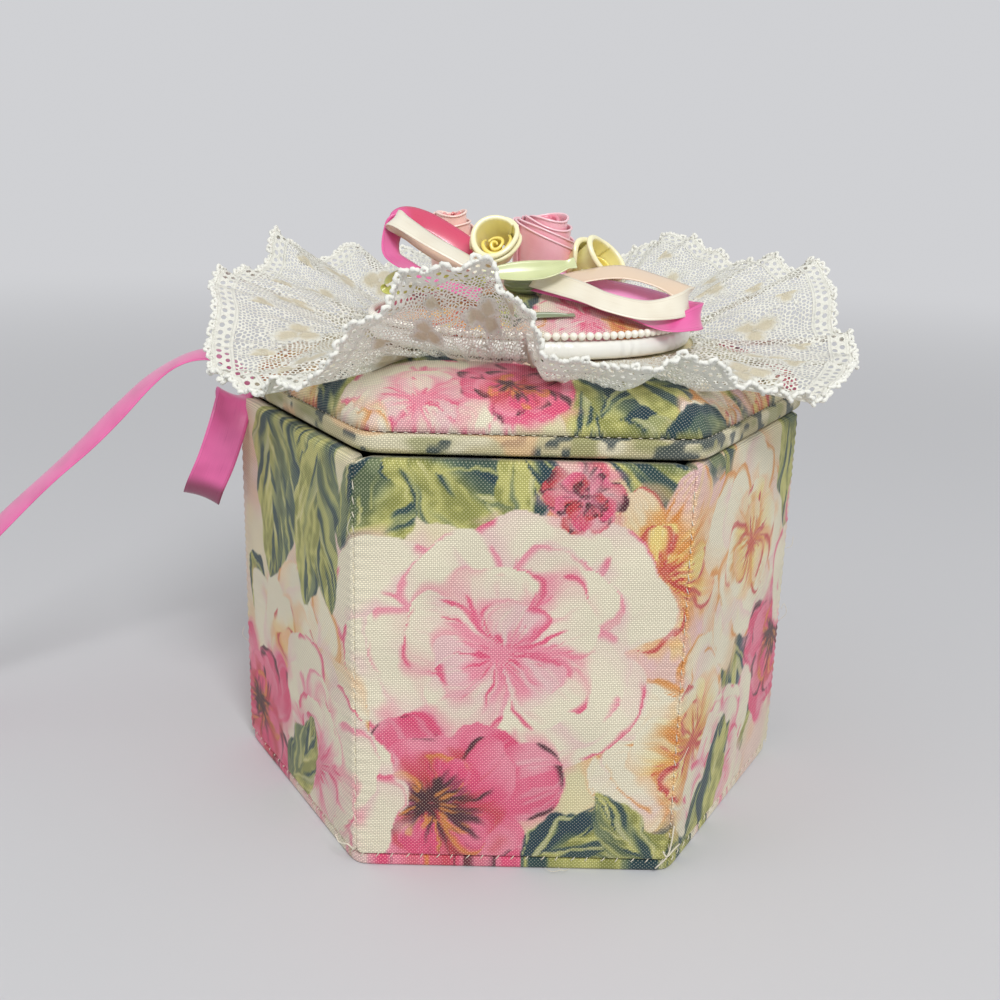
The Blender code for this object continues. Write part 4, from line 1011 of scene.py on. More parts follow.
def lattice(rings, spread):
    """A disc of triangles, 6k points in ring k: bearings, shares of the reach, faces and the rim."""
    bearing, share, faces = [0.0], [0.0], []
    inner, start = 0, 1
    for k in range(1, rings + 1):
        count, inner_count = SIDES * k, max(SIDES * (k - 1), 1)
        for m in range(count):
            side, i = divmod(m, k)
            a, b = TURN * side, TURN * (side + 1)
            bearing.append(math.atan2(lerp(math.sin(a), math.sin(b), i / k),
                                      lerp(math.cos(a), math.cos(b), i / k)))
            share.append((k / rings) ** spread)
            low, after = inner + (m - side) % inner_count, start + (m + 1) % count
            faces.append([low, start + m, after])
            if i < k - 1:
                faces.append([low, after, inner + (m - side + 1) % inner_count])
        inner, start = start, start + count
    return np.array(bearing), np.array(share), faces, np.arange(inner, start)


def lid_place(points):
    """From the lid's own middle to the frame."""
    return points + np.array([LID_X, LID_Y, 0.0])


def deselect():
    for piece in bpy.context.selected_objects:
        piece.select_set(False)


def ball(segments, rings, radius, stretch):
    """A small ball at the origin, stretched along each axis."""
    deselect()
    bpy.ops.mesh.primitive_uv_sphere_add(segments=segments, ring_count=rings, radius=radius,
                                         location=(0.0, 0.0, 0.0))
    bpy.ops.object.mode_set(mode="EDIT")
    bpy.ops.mesh.select_all(action="SELECT")
    bpy.ops.transform.resize(value=stretch, center_override=(0.0, 0.0, 0.0))
    bpy.ops.object.mode_set(mode="OBJECT")
    return bpy.context.active_object


def unit_stitch(half_long, radius, bow):
    """One stitch along +Z, thicker in its middle and bowed out along +X."""
    stitch = ball(8, 8, 1.0, (radius, radius, half_long))
    for vert in stitch.data.vertices:
        vert.co.x += bow * (1.0 - (vert.co.z / half_long) ** 2)
    return stitch


def copies(source, places, name, paint, body, nodes=()):
    """Copies a small mesh to many places, as one piece."""
    base = np.array([v.co for v in source.data.vertices])
    polygons = [list(p.vertices) for p in source.data.polygons]
    bpy.data.objects.remove(source, do_unlink=True)
    points = np.concatenate([base @ np.array(m)[:3, :3].T + np.array(m)[:3, 3] for m in places])
    faces = [[v + k * len(base) for v in polygon] for k in range(len(places)) for polygon in polygons]
    return make_piece(name, (points, faces, None), paint, body, nodes)


def through(points, share):
    """A smooth curve through the points, by the share of its way along them."""
    count = len(points)
    where = np.clip(share, 0.0, 1.0) * (count - 1)
    index = np.minimum(where.astype(int), count - 2)
    t = (where - index)[:, None]
    table = np.array(points, float)
    table = np.concatenate([[2.0 * table[0] - table[1]], table, [2.0 * table[-1] - table[-2]]])
    a, b, c, d = table[index], table[index + 1], table[index + 2], table[index + 3]
    return 0.5 * (2.0 * b + (c - a) * t + (2.0 * a - 5.0 * b + 4.0 * c - d) * t ** 2
                  + (3.0 * b - a - 3.0 * c + d) * t ** 3)


def unit(vectors):
    return vectors / np.maximum(np.linalg.norm(vectors, axis=-1, keepdims=True), 1e-9)


def ribbon(name, centre, side, width, thickness, paint, body, nodes, columns, cup):
    """A flat ribbon round a line of points: closed, with rounded edges.

    side is the way of its width at each point; a cup bows the ribbon across its width.
    """
    along = unit(np.gradient(centre, axis=0))
    side = unit(side - along * np.sum(side * along, axis=1, keepdims=True))
    up = np.cross(along, side)
    across = np.linspace(-1.0, 1.0, columns + 1)
    outline = [(a, 1.0) for a in across] + [(a, -1.0) for a in across[::-1]]
    points = []
    for a, face in outline:
        lift = face * thickness / 2.0 * (1.0 if abs(a) < 0.999 else 0.6)
        points.append(centre + side * (a * width / 2.0) + up * (lift + cup * (a * a - 1.0)))
    points = np.stack(points, 1).reshape(-1, 3)
    aside = [a * width / 2.0 for a, _ in outline]
    flat = np.stack(np.meshgrid(runs(centre), aside, indexing="ij"), -1).reshape(-1, 2)
    shape = points, rings_faces(len(centre), len(outline)), flat
    return make_piece(name, shape, paint, body, nodes)


def facing(grid, wrap):
    """The way that a sheet faces at each of its points."""
    along = np.roll(grid, -1, 0) - np.roll(grid, 1, 0) if wrap else np.gradient(grid, axis=0)
    return unit(np.cross(along, np.gradient(grid, axis=1)))


def thick_sheet(grid, flat, thickness, wrap=False):
    """Closed points, faces and flat places of a sheet given as rows of points."""
    rows, columns = grid.shape[:2]
    half = facing(grid, wrap) * thickness / 2.0
    front = (grid + half).reshape(-1, 3)
    back = (grid - half).reshape(-1, 3)
    count = rows * columns
    upper = grid_faces(rows, columns, wrap_rows=wrap)
    faces = [[d, c, b, a] for a, b, c, d in upper]
    faces += [[a + count, b + count, c + count, d + count] for a, b, c, d in upper]
    first = np.arange(rows) * columns
    loops = [first, first[::-1] + columns - 1] if wrap else [grid_rim(rows, columns)]
    for loop in loops:
        after = np.roll(loop, -1)
        faces += np.stack([loop, after, after + count, loop + count], -1).tolist()
    places = flat.reshape(-1, 2)
    return np.concatenate([front, back]), faces, np.concatenate([places, places])


def joined(parts):
    """Several closed shapes as one."""
    faces = []
    start = 0
    for points, part_faces, _ in parts:
        faces += [[i + start for i in face] for face in part_faces]
        start += len(points)
    return np.concatenate([part[0] for part in parts]), faces, np.concatenate([part[2] for part in parts])


def tube(points, radius, corners=8):
    """A closed round tube along the points."""
    points = np.asarray(points, float)
    along = unit(np.gradient(points, axis=0))
    side = np.zeros_like(points)
    ahead = np.cross(along[0], (0.31, 0.17, 0.93))
    for i, way in enumerate(along):
        ahead = ahead - way * np.dot(ahead, way)
        ahead = ahead / np.linalg.norm(ahead)
        side[i] = ahead
    up = np.cross(along, side)
    angle = np.arange(corners) * math.tau / corners
    radius = np.broadcast_to(radius, len(points))[:, None, None]
    rings = points[:, None] + radius * (side[:, None] * np.cos(angle)[None, :, None]
                                        + up[:, None] * np.sin(angle)[None, :, None])
    flat = np.stack(np.meshgrid(runs(points), angle * 0.2 * MM, indexing="ij"), -1)
    return rings.reshape(-1, 3), rings_faces(len(points), corners), flat.reshape(-1, 2)


def wad(node, along, up, out, half, pleats, depth):
    """A gathered knot of ribbon in a node's place: a rounded bundle with pleats running along it."""
    centre = sum(np.array(corner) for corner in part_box(node)) / 2.0
    angle = np.arange(72) * math.tau / 72
    rings = []
    for share in np.sin(np.linspace(-math.pi / 2.0, math.pi / 2.0, 21)):
        reach = max(1.0 - abs(share) ** 3.0, 1e-4) ** 0.5
        ripple = 1.0 + depth * np.sin(pleats * angle + 2.0 * share) * (0.4 + 0.6 * reach)
        c, s = [np.sign(w) * np.abs(w) ** 0.8 for w in (np.cos(angle), np.sin(angle))]
        rings.append(centre + np.array(along) * share * half[0]
                     + np.outer(c * reach * ripple * half[1], up)
                     + np.outer(s * reach * ripple * half[2], out))
    points = np.concatenate(rings)
    flat = (points - centre) @ np.stack([along, up], -1)
    return points, rings_faces(21, 72), flat


def disc_height(radius):
    """Top of the padded disc at a distance from its middle."""
    share = np.clip(np.asarray(radius) / DISC_R, 0.0, 1.0)
    return DISC_LOW.z + DISC_SIDE + (DISC_HIGH.z - DISC_LOW.z - DISC_SIDE) * (1.0 - share ** 2.4)


def on_disc(shares):
    """Points over the padded disc, from shares of its radius."""
    table = np.asarray(shares, float) * DISC_R
    table[:, 2] += disc_height(np.hypot(table[:, 0], table[:, 1])) + TRIM_SEAT
    return table


def lid_rise(share):
    """Height of the padded top over its foot, by the share of its half width."""
    t = np.clip((1.0 - share) / 0.54, 0.0, 1.0) ** 0.55
    return (LID_HIGH.z - LID_LOW.z) * (1.0 - (1.0 - t) ** 2)


def outward_share(x, y, apothem):
    """How far out in the hexagon a point is."""
    reach = np.maximum(np.abs(y), np.abs(x) * math.cos(TURN / 2.0) + np.abs(y) * math.sin(TURN / 2.0))
    return reach / apothem


# The lace's edge: bearing in degrees from the right, counted through the back, then the shares of
# its reach, lift and belly
LACE_EDGE_SHARES = (
    (1, 1.04, 0.50, -0.2), (5, 1.00, 0.54, -0.1), (8, 1.03, 0.74, 0.1), (14, 1.05, 1.09, 0.6),
    (20, 1.00, 1.00, 0.2), (30, 1.00, 1.04, 0.2), (37, 1.00, 0.98, 0.0), (44, 1.02, 1.05, 0.3),
    (54, 1.01, 1.22, 0.6), (59, 1.00, 1.16, 0.3), (66, 1.00, 1.00, -0.1), (74, 0.97, 0.94, 0.2),
    (82, 0.96, 0.86, 0.3), (90, 0.95, 1.00, 0.5), (98, 0.96, 1.02, 0.5), (107, 0.98, 0.84, -0.1),
    (116, 0.98, 0.96, 0.4), (124, 1.01, 0.86, 0.1), (131, 1.02, 0.99, 0.5), (139, 1.02, 0.88, 0.0),
    (147, 1.01, 1.00, 0.3), (153, 1.02, 1.26, 0.5), (156, 0.99, 0.96, 0.3), (160, 0.97, 0.76, 0.2),
    (165, 1.00, 0.86, 0.4), (174, 1.02, 0.92, 0.3), (180, 1.02, 0.84, 0.2), (184, 0.96, 0.62, -0.2),
    (190, 1.00, 0.36, -0.4), (198, 0.99, 0.24, -0.4), (205, 0.94, 0.15, -0.4), (212, 0.87, 0.16, -0.4),
    (218, 0.85, 0.18, -0.3), (226, 0.82, 0.32, -0.2), (232, 0.80, 0.42, -0.1), (236, 0.81, 0.58, 0.1),
    (242, 0.82, 0.85, 0.4), (247, 0.82, 1.12, 0.6), (253, 0.79, 1.26, 0.7), (258, 0.75, 1.27, 0.7),
    (262, 0.71, 1.19, 0.7), (266, 0.65, 1.02, 0.5), (269, 0.58, 0.78, 0.1), (271, 0.53, 0.64, -0.4),
    (277, 0.55, 0.56, -0.8), (283, 0.60, 0.53, -0.9), (290, 0.67, 0.54, -0.9), (298, 0.74, 0.60, -0.9),
    (301, 0.78, 0.60, -0.8), (305, 0.81, 0.44, -0.6), (310, 0.84, 0.36, -0.6), (316, 0.86, 0.29, -0.5),
    (325, 0.90, 0.22, -0.4), (333, 0.97, 0.30, -0.3), (346, 1.02, 0.38, -0.3),
)
# Bow loops: satin, the painted shade inside the loop (painted light on the right pink loop), where that
# begins and ends as shares of the length, then x, y and height over the disc as shares of its radius, and
# the width's way
BOW_LOOPS = {
    # The cream loops' insides are painted peach: painted shade with a painted reflection of the pink
    # ribbon.
    "bow_loop_cream_left": ("cream", (0.86, 0.72, 0.60), 0.55, 1.1, (
        ((-0.295, -0.517, 0.153), (0.35, 0.85, 0.30)), ((-0.400, -0.537, 0.236), (0.35, 0.85, 0.30)),
        ((-0.629, -0.515, 0.401), (0.35, 0.83, 0.33)), ((-0.805, -0.454, 0.548), (0.38, 0.78, 0.40)),
        ((-0.855, -0.371, 0.555), (0.38, 0.80, 0.40)), ((-0.780, -0.298, 0.437), (0.30, 0.85, 0.35)),
        ((-0.620, -0.312, 0.277), (0.2, 0.9, 0.35)), ((-0.402, -0.368, 0.147), (0.1, 0.85, 0.45)))),
    "bow_loop_pink_left": ("pink", (0.83, 0.22, 0.34), -0.1, 0.42, (
        ((-0.300, -0.293, 0.114), (0.1, 0.6, 0.8)), ((-0.388, -0.224, 0.226), (0.1, 0.6, 0.8)),
        ((-0.524, -0.180, 0.339), (0.1, 0.6, 0.8)), ((-0.685, -0.171, 0.465), (0.2, 0.65, 0.72)),
        ((-0.805, -0.229, 0.530), (0.3, 0.78, 0.55)), ((-0.865, -0.344, 0.495), (0.35, 0.85, 0.38)),
        ((-0.860, -0.478, 0.390), (0.32, 0.90, 0.26)), ((-0.745, -0.571, 0.296), (0.28, 0.93, 0.22)),
        ((-0.624, -0.615, 0.216), (0.28, 0.93, 0.22)), ((-0.449, -0.649, 0.124), (0.28, 0.92, 0.26)),
        ((-0.315, -0.659, 0.069), (0.2, 0.85, 0.45)))),
    "bow_loop_cream_right": ("cream", (0.90, 0.79, 0.68), 0.55, 1.1, (
        ((0.010, -0.500, 0.110), (0.0, 0.60, 0.65)), ((0.271, -0.668, 0.107), (0.0, 0.75, 0.65)),
        ((0.441, -0.732, 0.100), (0.0, 0.72, 0.66)), ((0.639, -0.741, 0.115), (0.1, 0.68, 0.68)),
        ((0.795, -0.707, 0.131), (0.1, 0.65, 0.72)), ((0.920, -0.615, 0.156), (0.1, 0.5, 0.85)),
        ((0.948, -0.485, 0.186), (0.0, 0.7, 0.68)), ((0.803, -0.395, 0.205), (-0.1, 0.86, 0.48)),
        ((0.559, -0.390, 0.186), (-0.1, 0.86, 0.48)), ((0.325, -0.425, 0.124), (0.0, 0.90, 0.42)),
        ((0.163, -0.458, 0.070), (0.0, 0.8, 0.60)))),
    # The right pink loop's inside is painted lighter, standing in for lamp light on a strand that lies in
    # shade.
    "bow_loop_pink_right": ("pink", (1.00, 0.70, 0.90), 0.60, 1.2, (
        ((0.010, -0.470, 0.080), (0.0, 0.6, 0.8)), ((0.295, -0.576, 0.060), (0.0, 0.7, 0.7)),
        ((0.478, -0.624, 0.050), (0.1, 0.8, 0.5)), ((0.646, -0.683, 0.040), (0.2, 0.9, 0.2)),
        ((0.807, -0.727, 0.042), (0.2, 0.85, 0.45)), ((0.953, -0.672, 0.060), (0.15, 0.75, 0.62)),
        ((1.035, -0.541, 0.080), (0.1, 0.65, 0.75)), ((0.968, -0.396, 0.082), (0.0, 0.6, 0.80)),
        ((0.759, -0.330, 0.064), (0.0, 0.6, 0.80)), ((0.539, -0.350, 0.050), (0.0, 0.6, 0.80)),
        ((0.295, -0.380, 0.050), (0.0, 0.6, 0.80)), ((0.159, -0.395, 0.055), (0.0, 0.5, 0.85)))),
}
# Roses: satin, middle of the opening from the lid's middle, way it faces, radius, depth, style,
# then the way of its longer side in radians and how much longer it is
ROSES = {
    "rose_yellow_left": ("yellow", (-0.0098, -0.0172, 0.1474), (-0.06, -0.82, 0.57), 5.2 * MM, 9.5 * MM,
                         "open", 0.95, 0.16),
    "rose_yellow_right": ("yellow", (0.0194, -0.0096, 0.1424), (0.64, -0.55, 0.54), 4.9 * MM, 10.5 * MM,
                          "open", 2.2, 0.30),
    "rose_pink": ("rose", (0.0042, -0.0030, 0.1515), (0.05, -0.12, 0.99), 8.3 * MM, 15.5 * MM, "full",
                  0.0, 0.06),
    "rose_peach": ("peach", (-0.0218, 0.0040, 0.1516), (-0.08, -0.10, 0.99), 6.4 * MM, 17.0 * MM, "full",
                   0.0, 0.10),
}
# Leaves: satin, width, width's way, then points over the disc as shares of its radius
LEAVES = {
    "leaf_sage": ("sage", 6.6 * MM, (0.1, 0.75, 0.65), (
        (-0.322, -0.610, 0.178), (-0.120, -0.605, 0.170), (0.076, -0.605, 0.186),
        (0.251, -0.600, 0.245))),
    "leaf_dark": ("green", 2.4 * MM, (0.0, 1.0, 0.4), (
        (-0.193, -0.830, 0.014), (-0.046, -0.840, 0.014), (0.100, -0.820, 0.014),
        (0.246, -0.790, 0.014))),
}
# The small leaf is a folded loop: points over the disc and the width's way
SMALL_LEAF = (
    ((-0.285, -0.450, 0.085), (0.2, 0.7, 0.7)), ((-0.450, -0.440, 0.120), (0.2, 0.7, 0.7)),
    ((-0.640, -0.425, 0.175), (0.2, 0.7, 0.7)), ((-0.790, -0.410, 0.225), (0.2, 0.7, 0.7)),
    ((-0.880, -0.410, 0.225), (0.2, 0.6, 0.75)), ((-0.905, -0.425, 0.185), (0.2, 0.5, 0.85)),
    ((-0.850, -0.445, 0.150), (0.1, 0.7, 0.7)), ((-0.720, -0.455, 0.120), (0.0, 0.8, 0.6)),
    ((-0.560, -0.465, 0.085), (0.0, 0.8, 0.6)), ((-0.300, -0.480, 0.050), (0.0, 0.8, 0.6)),
)
# The wide ribbon's routes in millimetres, and the way of its width at each point
LOOP_POINTS = (
    (-78.3, 3.3, 97.8), (-77.6, 0.0, 102.4), (-76.5, -5.0, 102.0), (-77.7, -9.5, 95.2),
    (-80.6, -11.0, 86.4), (-84.0, -10.4, 79.0), (-86.0, -7.0, 74.8), (-85.6, -3.0, 77.2),
    (-83.6, -0.4, 82.8), (-81.2, 1.6, 88.2), (-79.3, 3.0, 92.0))
LOOP_ACROSS = (
    (0.50, 0.86, 0.00), (0.66, 0.66, -0.30), (0.84, 0.32, -0.42), (0.85, 0.26, -0.46),
    (0.85, 0.26, -0.46), (0.85, 0.28, -0.44), (0.85, 0.30, -0.42), (0.85, 0.34, -0.38),
    (0.80, 0.48, -0.24), (0.68, 0.70, -0.10), (0.52, 0.84, 0.00))
TAIL_POINTS = (
    (-72.3, 13.3, 95.8), (-74.8, 13.2, 100.4), (-78.4, 12.6, 106.2), (-83.6, 11.4, 110.6),
    (-89.6, 10.0, 111.0), (-96.0, 8.4, 108.6), (-103.0, 6.8, 103.4), (-111.0, 5.2, 95.4),
    (-119.6, 3.6, 86.8), (-128.4, 2.2, 78.8), (-137.4, 1.0, 70.4), (-146.6, 0.0, 61.4),
    (-156.0, -0.8, 51.6), (-165.0, -1.4, 41.0), (-173.4, -1.8, 30.0), (-180.8, -2.2, 18.8),
    (-187.5, -2.6, 9.0), (-194.5, -3.0, 3.0), (-203.0, -3.6, 1.2), (-213.0, -4.4, 0.9),
    (-224.0, -5.4, 0.9))
TAIL_ACROSS = (
    (0.50, 0.86, 0.00), (0.36, 0.92, 0.04), (0.06, 0.99, 0.06), (-0.05, 0.99, 0.10),
    (-0.12, 0.98, 0.14), (-0.19, 0.96, 0.19), (-0.26, 0.93, 0.25), (-0.30, 0.91, 0.28),
    (-0.32, 0.89, 0.30), (-0.32, 0.89, 0.31), (-0.32, 0.89, 0.31), (-0.31, 0.90, 0.30),
    (-0.30, 0.91, 0.28), (-0.27, 0.93, 0.25), (-0.22, 0.96, 0.19), (-0.15, 0.98, 0.12),
    (-0.08, 0.99, 0.06), (-0.03, 1.00, 0.02), (0.05, 1.00, 0.00), (0.08, 1.00, 0.00),
    (0.09, 1.00, 0.00))

# Thread ends in millimetres: the bold knotted ones, then the finest
LOOSE_THREADS = (
    ((38.6, -66.4, 13.0), (38.1, -67.0, 8.5), (37.2, -67.3, 5.0), (34.6, -67.2, 1.8)),
    ((40.9, -62.9, 6.0), (38.9, -66.2, 6.4), (37.2, -67.4, 5.2), (36.2, -67.4, 6.6)),
    ((-38.2, -66.9, 5.0), (-39.6, -67.2, 6.6), (-41.8, -65.4, 6.0), (-43.0, -63.6, 7.0)),
)
FINE_THREADS = (
    ((-38.6, -67.0, 3.2), (-37.0, -67.8, 5.8), (-34.6, -67.9, 5.2), (-33.6, -67.4, 7.6)),
    ((38.4, -66.9, 30.0), (39.4, -67.2, 31.6), (40.6, -66.4, 34.0)),
    ((76.3, 0.4, 40.0), (78.2, 0.0, 42.6), (77.2, -0.4, 45.6), (76.4, -0.6, 44.0)),
    ((76.3, 0.2, 62.0), (77.8, -0.2, 63.0), (78.0, -0.2, 65.6)),
    ((-76.2, 0.2, 30.0), (-77.6, -0.4, 32.4), (-77.0, -0.8, 34.8)),
    ((-38.3, -66.9, 84.0), (-38.9, -67.8, 86.4), (-38.0, -67.6, 89.0)),
    ((8.0, -66.9, 1.2), (9.6, -68.2, 1.0), (12.0, -68.4, 1.6)),
    ((14.0, -66.9, 1.2), (12.6, -68.4, 1.4), (11.0, -68.2, 2.2)),
)


class JEWELRY_BOX_OT_stage(bpy.types.Operator):
    """Pale floor, soft studio light and the camera"""
    bl_idname = "jewelry_box.stage"
    bl_label = "Stage"

    def execute(self, context):
        context.scene.view_settings.view_transform = "Standard"
        pale = ink(colours().floor)
        deselect()
        bpy.ops.mesh.primitive_plane_add(size=FLOOR_SIZE, location=(0.0, 0.0, 0.0))
        floor = context.active_object
        floor.name = "studio_floor"
        paint = Paint(bpy.data.materials.new("studio_floor"))
        x, y, _ = paint.split(paint.object_place())
        far = x.span(y).ease(*FLOOR_FADE)
        glow = paint.node("ShaderNodeEmission", None, {"Color": pale, "Strength": 1.0})
        lit = paint.finish_shader(Base_Color=pale, Roughness=0.9, Specular_IOR_Level=0.2)
        floor.data.materials.append(paint.show(paint.blend(far * paint.seen(), lit, glow)))

        sky = Paint(bpy.data.worlds.new("studio_light"))
        light = sky.node("ShaderNodeBackground", None, {"Color": (1.0, 1.0, 1.0), "Strength": SKY_LIGHT})
        back = sky.node("ShaderNodeBackground", None, {"Color": pale, "Strength": 1.0})
        context.scene.world = sky.show(sky.blend(sky.seen(), light, back))

        for name, (place, size, power) in LAMPS.items():
            data = bpy.data.lights.new(name, "AREA")
            data.shape = "DISK"
            data.size = size
            data.energy = power
            lamp = bpy.data.objects.new(name, data)
            context.scene.collection.objects.link(lamp)
            lamp.location = place
            lamp.rotation_euler = (Vector(LAMP_AIM) - Vector(place)).to_track_quat("-Z", "Y").to_euler()

        data = bpy.data.cameras.new("camera")
        data.sensor_fit = "HORIZONTAL"
        data.sensor_width = CAMERA_SENSOR
        data.lens = CAMERA_FOCAL
        data.clip_start = 0.01
        camera = bpy.data.objects.new("camera", data)
        context.scene.collection.objects.link(camera)
        camera.matrix_world = (Matrix.Translation(CAMERA_AT) @ turned(-CAMERA_YAW, "Z")
                               @ turned(math.pi / 2.0 - CAMERA_DOWN, "X") @ turned(CAMERA_ROLL, "Z"))
        context.scene.camera = camera
        return {"FINISHED"}


class JEWELRY_BOX_OT_side_ribbon(bpy.types.Operator):
    """Wide satin ribbon at the left corner: sewn fold, hanging loop and free tail"""
    bl_idname = "jewelry_box.side_ribbon"
    bl_label = "Side Ribbon"

    def execute(self, context):
        wide = sizes().wide_ribbon
        paint = satin("wide_pink_satin", colours().pink_satin, wide, (0.70, 0.14, 0.42))
        out = np.array((math.cos(math.radians(150.0)), math.sin(math.radians(150.0)), 0.0))
        along = np.array((0.5, 0.866, 0.0))
        fold = wad("side_ribbon_knot", along, (0.0, 0.0, 1.0), out,
                   (4.7 * MM, 3.5 * MM, 1.1 * MM), 7, 0.10)
        make_piece("ribbon_fold", fold, paint, "box", ["side_ribbon_knot"])

        share = np.linspace(0.0, 1.0, 120)
        centre = through(np.array(LOOP_POINTS) * MM, share)
        long = run_length(centre)
        # Painted shade: the stretch that turns back up along the wall is dark crimson, standing in for
        # the shade inside the loop.
        dark = satin("loop_pink_satin_painted_shade", colours().pink_satin, wide, (0.70, 0.14, 0.42),
                     ((0.46, 0.08, 0.24), 0.52 * long, 1.1 * long, "x"))
        loop = ribbon("ribbon_loop", centre, through(LOOP_ACROSS, share), wide, WIDE_SATIN_THICK, dark,
                      "box", ["side_ribbon_loop"], 12, 0.5 * MM)
        tuple(centre[0])
        [tuple(p) for p in centre[::2]]

        share = np.linspace(0.0, 1.0, 260)
        centre = through(np.array(TAIL_POINTS) * MM, share)
        side = unit(through(TAIL_ACROSS, share))
        ahead = unit(np.gradient(centre, axis=0))
        sway = 0.06 * np.sin(share * 31.0) * ease(0.05, 0.2, share) * ease(0.86, 0.7, share)
        side = side * np.cos(sway)[:, None] + np.cross(ahead, side) * np.sin(sway)[:, None]
        tail = ribbon("ribbon_tail", centre, side, wide, WIDE_SATIN_THICK, paint,
                      "box", ["side_ribbon_tail"], 12, 0.35 * MM)
        tuple(centre[0])
        [tuple(p) for p in centre[::4]]
        return {"FINISHED"}


class JEWELRY_BOX_OT_side_panels(bpy.types.Operator):
    """Six wadded panels in printed cotton, each with a pocket for its board"""
    bl_idname = "jewelry_box.side_panels"
    bl_label = "Side Panels"

    def execute(self, context):
        s = sizes()
        paint = cotton("printed_wall_cotton")
        for k, name in enumerate(SIDE_NAMES):
            board_room = APOTHEM + BOARD_LOW.y - 0.15 * MM
            points, faces, flat = panel_block(
                0.0, COVER_DEPTH, PANEL_LOW.z, PANEL_HIGH.z, s.panel_corner, s.edge_roll,
                -APOTHEM - PANEL_LOW.y, s.grid, 0.02 * MM, s.pucker, (0.9 * MM, board_room), k * 2.3,
                2.0 * MM)
            strip = (k if k < 5 else -1) * SIDE + SIDE / 2.0
            flat = flat + (strip, 0.0)
            make_piece("panel_" + name, (turned_about(points, k * TURN), faces, flat), paint, "box",
                       ["side_cover_" + name], print_cotton(flat, WALL_PRINT))
        return {"FINISHED"}


class JEWELRY_BOX_OT_linings(bpy.types.Operator):
    """Padded linings inside the walls, on the floor and under the lid"""
    bl_idname = "jewelry_box.linings"
    bl_label = "Linings"

    def execute(self, context):
        paint = cotton("plain_lining_cotton", colours().lining)
        front = APOTHEM + LINING_HIGH.y - 0.5 * MM
        back = APOTHEM + LINING_LOW.y
        for k, name in enumerate(SIDE_NAMES):
            points, faces, flat = panel_block(
                front, back, LINING_LOW.z, LINING_HIGH.z, 2.0 * MM, 0.5 * MM, 0.5 * MM,
                1.1 * MM, 0.4 * MM, 0.1 * MM, None, k * 1.7 + 9.0)
            make_piece("lining_" + name, (turned_about(points, k * TURN), faces, flat), paint, "box",
                       ["side_lining_" + name])
        pad = self.pad(FLOOR_PAD_HIGH.y, FLOOR_PAD_LOW.z, FLOOR_PAD_HIGH.z, 0.8 * MM)
        make_piece("floor_pad", pad, paint, "box", ["base_lining_pad"])
        apothem = (LID_LINING_HIGH.y - LID_LINING_LOW.y) / 2.0
        points, faces, flat = self.pad(apothem, 0.0, LID_LINING_HIGH.z - LID_LINING_LOW.z, 0.6 * MM)
        points = lid_place(points * (1.0, 1.0, -1.0) + (0.0, 0.0, LID_LINING_HIGH.z))
        make_piece("lid_lining_pad", (points, faces, flat), paint, "lid",
                   ["lid_lining"])
        return {"FINISHED"}

    def pad(self, apothem, low, high, crown):
        """A hexagonal pad, flat underneath, crowned on top, with rolled edges."""
        bearing, share, faces, rim = lattice(46, 0.8)
        reach = hexagon_reach(bearing, apothem)
        x, y = share * reach * np.cos(bearing), share * reach * np.sin(bearing)
        sunk = rolled_off((1.0 - share) * apothem, 0.8 * MM)
        tuft = 0.25 * MM * (grain(x / (15.0 * MM) + 30.0, y / (13.0 * MM) + 30.0, 5) - 0.5)
        z = high - crown + crown * (1.0 - share ** 4) - sunk + tuft * (1.0 - share ** 2)
        top = np.stack([x, y, np.minimum(z, high)], -1)
        flat = top[:, :2]
        points = skirt(top, faces, rim, [top[rim] * (1.0, 1.0, 0.0) + (0.0, 0.0, low)])
        return points, faces, np.concatenate([flat, flat[rim]])


class JEWELRY_BOX_OT_base(bpy.types.Operator):
    """Covered base with its rolled edge"""
    bl_idname = "jewelry_box.base"
    bl_label = "Base"

    def execute(self, context):
        paint = cotton("base_cotton")
        points, faces, flat = rolled_tray(BASE_HIGH.y, BASE_LOW.z, BASE_HIGH.z, 0.9 * MM,
                                          1.0 * MM, BASE_HIGH.z, 60.0)
        bearing = np.arctan2(points[:, 1], points[:, 0]) + math.pi / 2.0
        side = np.round(bearing / TURN).astype(int) % 6
        turn = side * TURN
        run = points[:, 0] * np.cos(turn) + points[:, 1] * np.sin(turn)
        run = run + np.where(side < 5, side, -1) * SIDE + SIDE / 2.0
        shades = print_cotton(np.stack([run, np.full(len(run), 0.8 * MM)], -1), WALL_PRINT)
        make_piece("covered_base", (points, faces, flat), paint, "box",
                   ["base_cover"], shades)
        return {"FINISHED"}


def rolled_tray(apothem, low, high, roll, rim, floor, power):
    """A covered hexagonal board: rolled edge, closed underside and a top rim round a pocket."""
    count = 900
    angle = np.arange(count) * math.tau / count
    outline = hexagon_reach(angle, 1.0, power)
    middle = (low + high) / 2.0
    tall = (high - low) / 2.0
    turn = np.linspace(0.0, math.pi / 2.0, 6)
    inner = apothem - roll
    profile = [(0.25 * apothem, low)] + [(k * apothem, low) for k in np.linspace(0.66, 0.94, 14)]
    profile += [(inner + roll * math.sin(a), low + roll - roll * math.cos(a)) for a in turn]
    profile += [(apothem, middle - 0.3 * tall), (apothem, middle + 0.3 * tall)]
    profile += [(inner + roll * math.cos(a), high - roll + roll * math.sin(a)) for a in turn]
    profile += [(inner - rim, high)]
    if floor < high:
        profile += [(inner - rim, floor)]
    profile += [(0.25 * apothem, floor)]
    points = np.concatenate([polar(outline * r, angle, z) for r, z in profile])
    girth = angle * apothem * 1.05
    flat = np.concatenate([np.stack([girth, np.full(count, r)], -1) for r in runs(profile)])
    return points, rings_faces(len(profile), count), flat


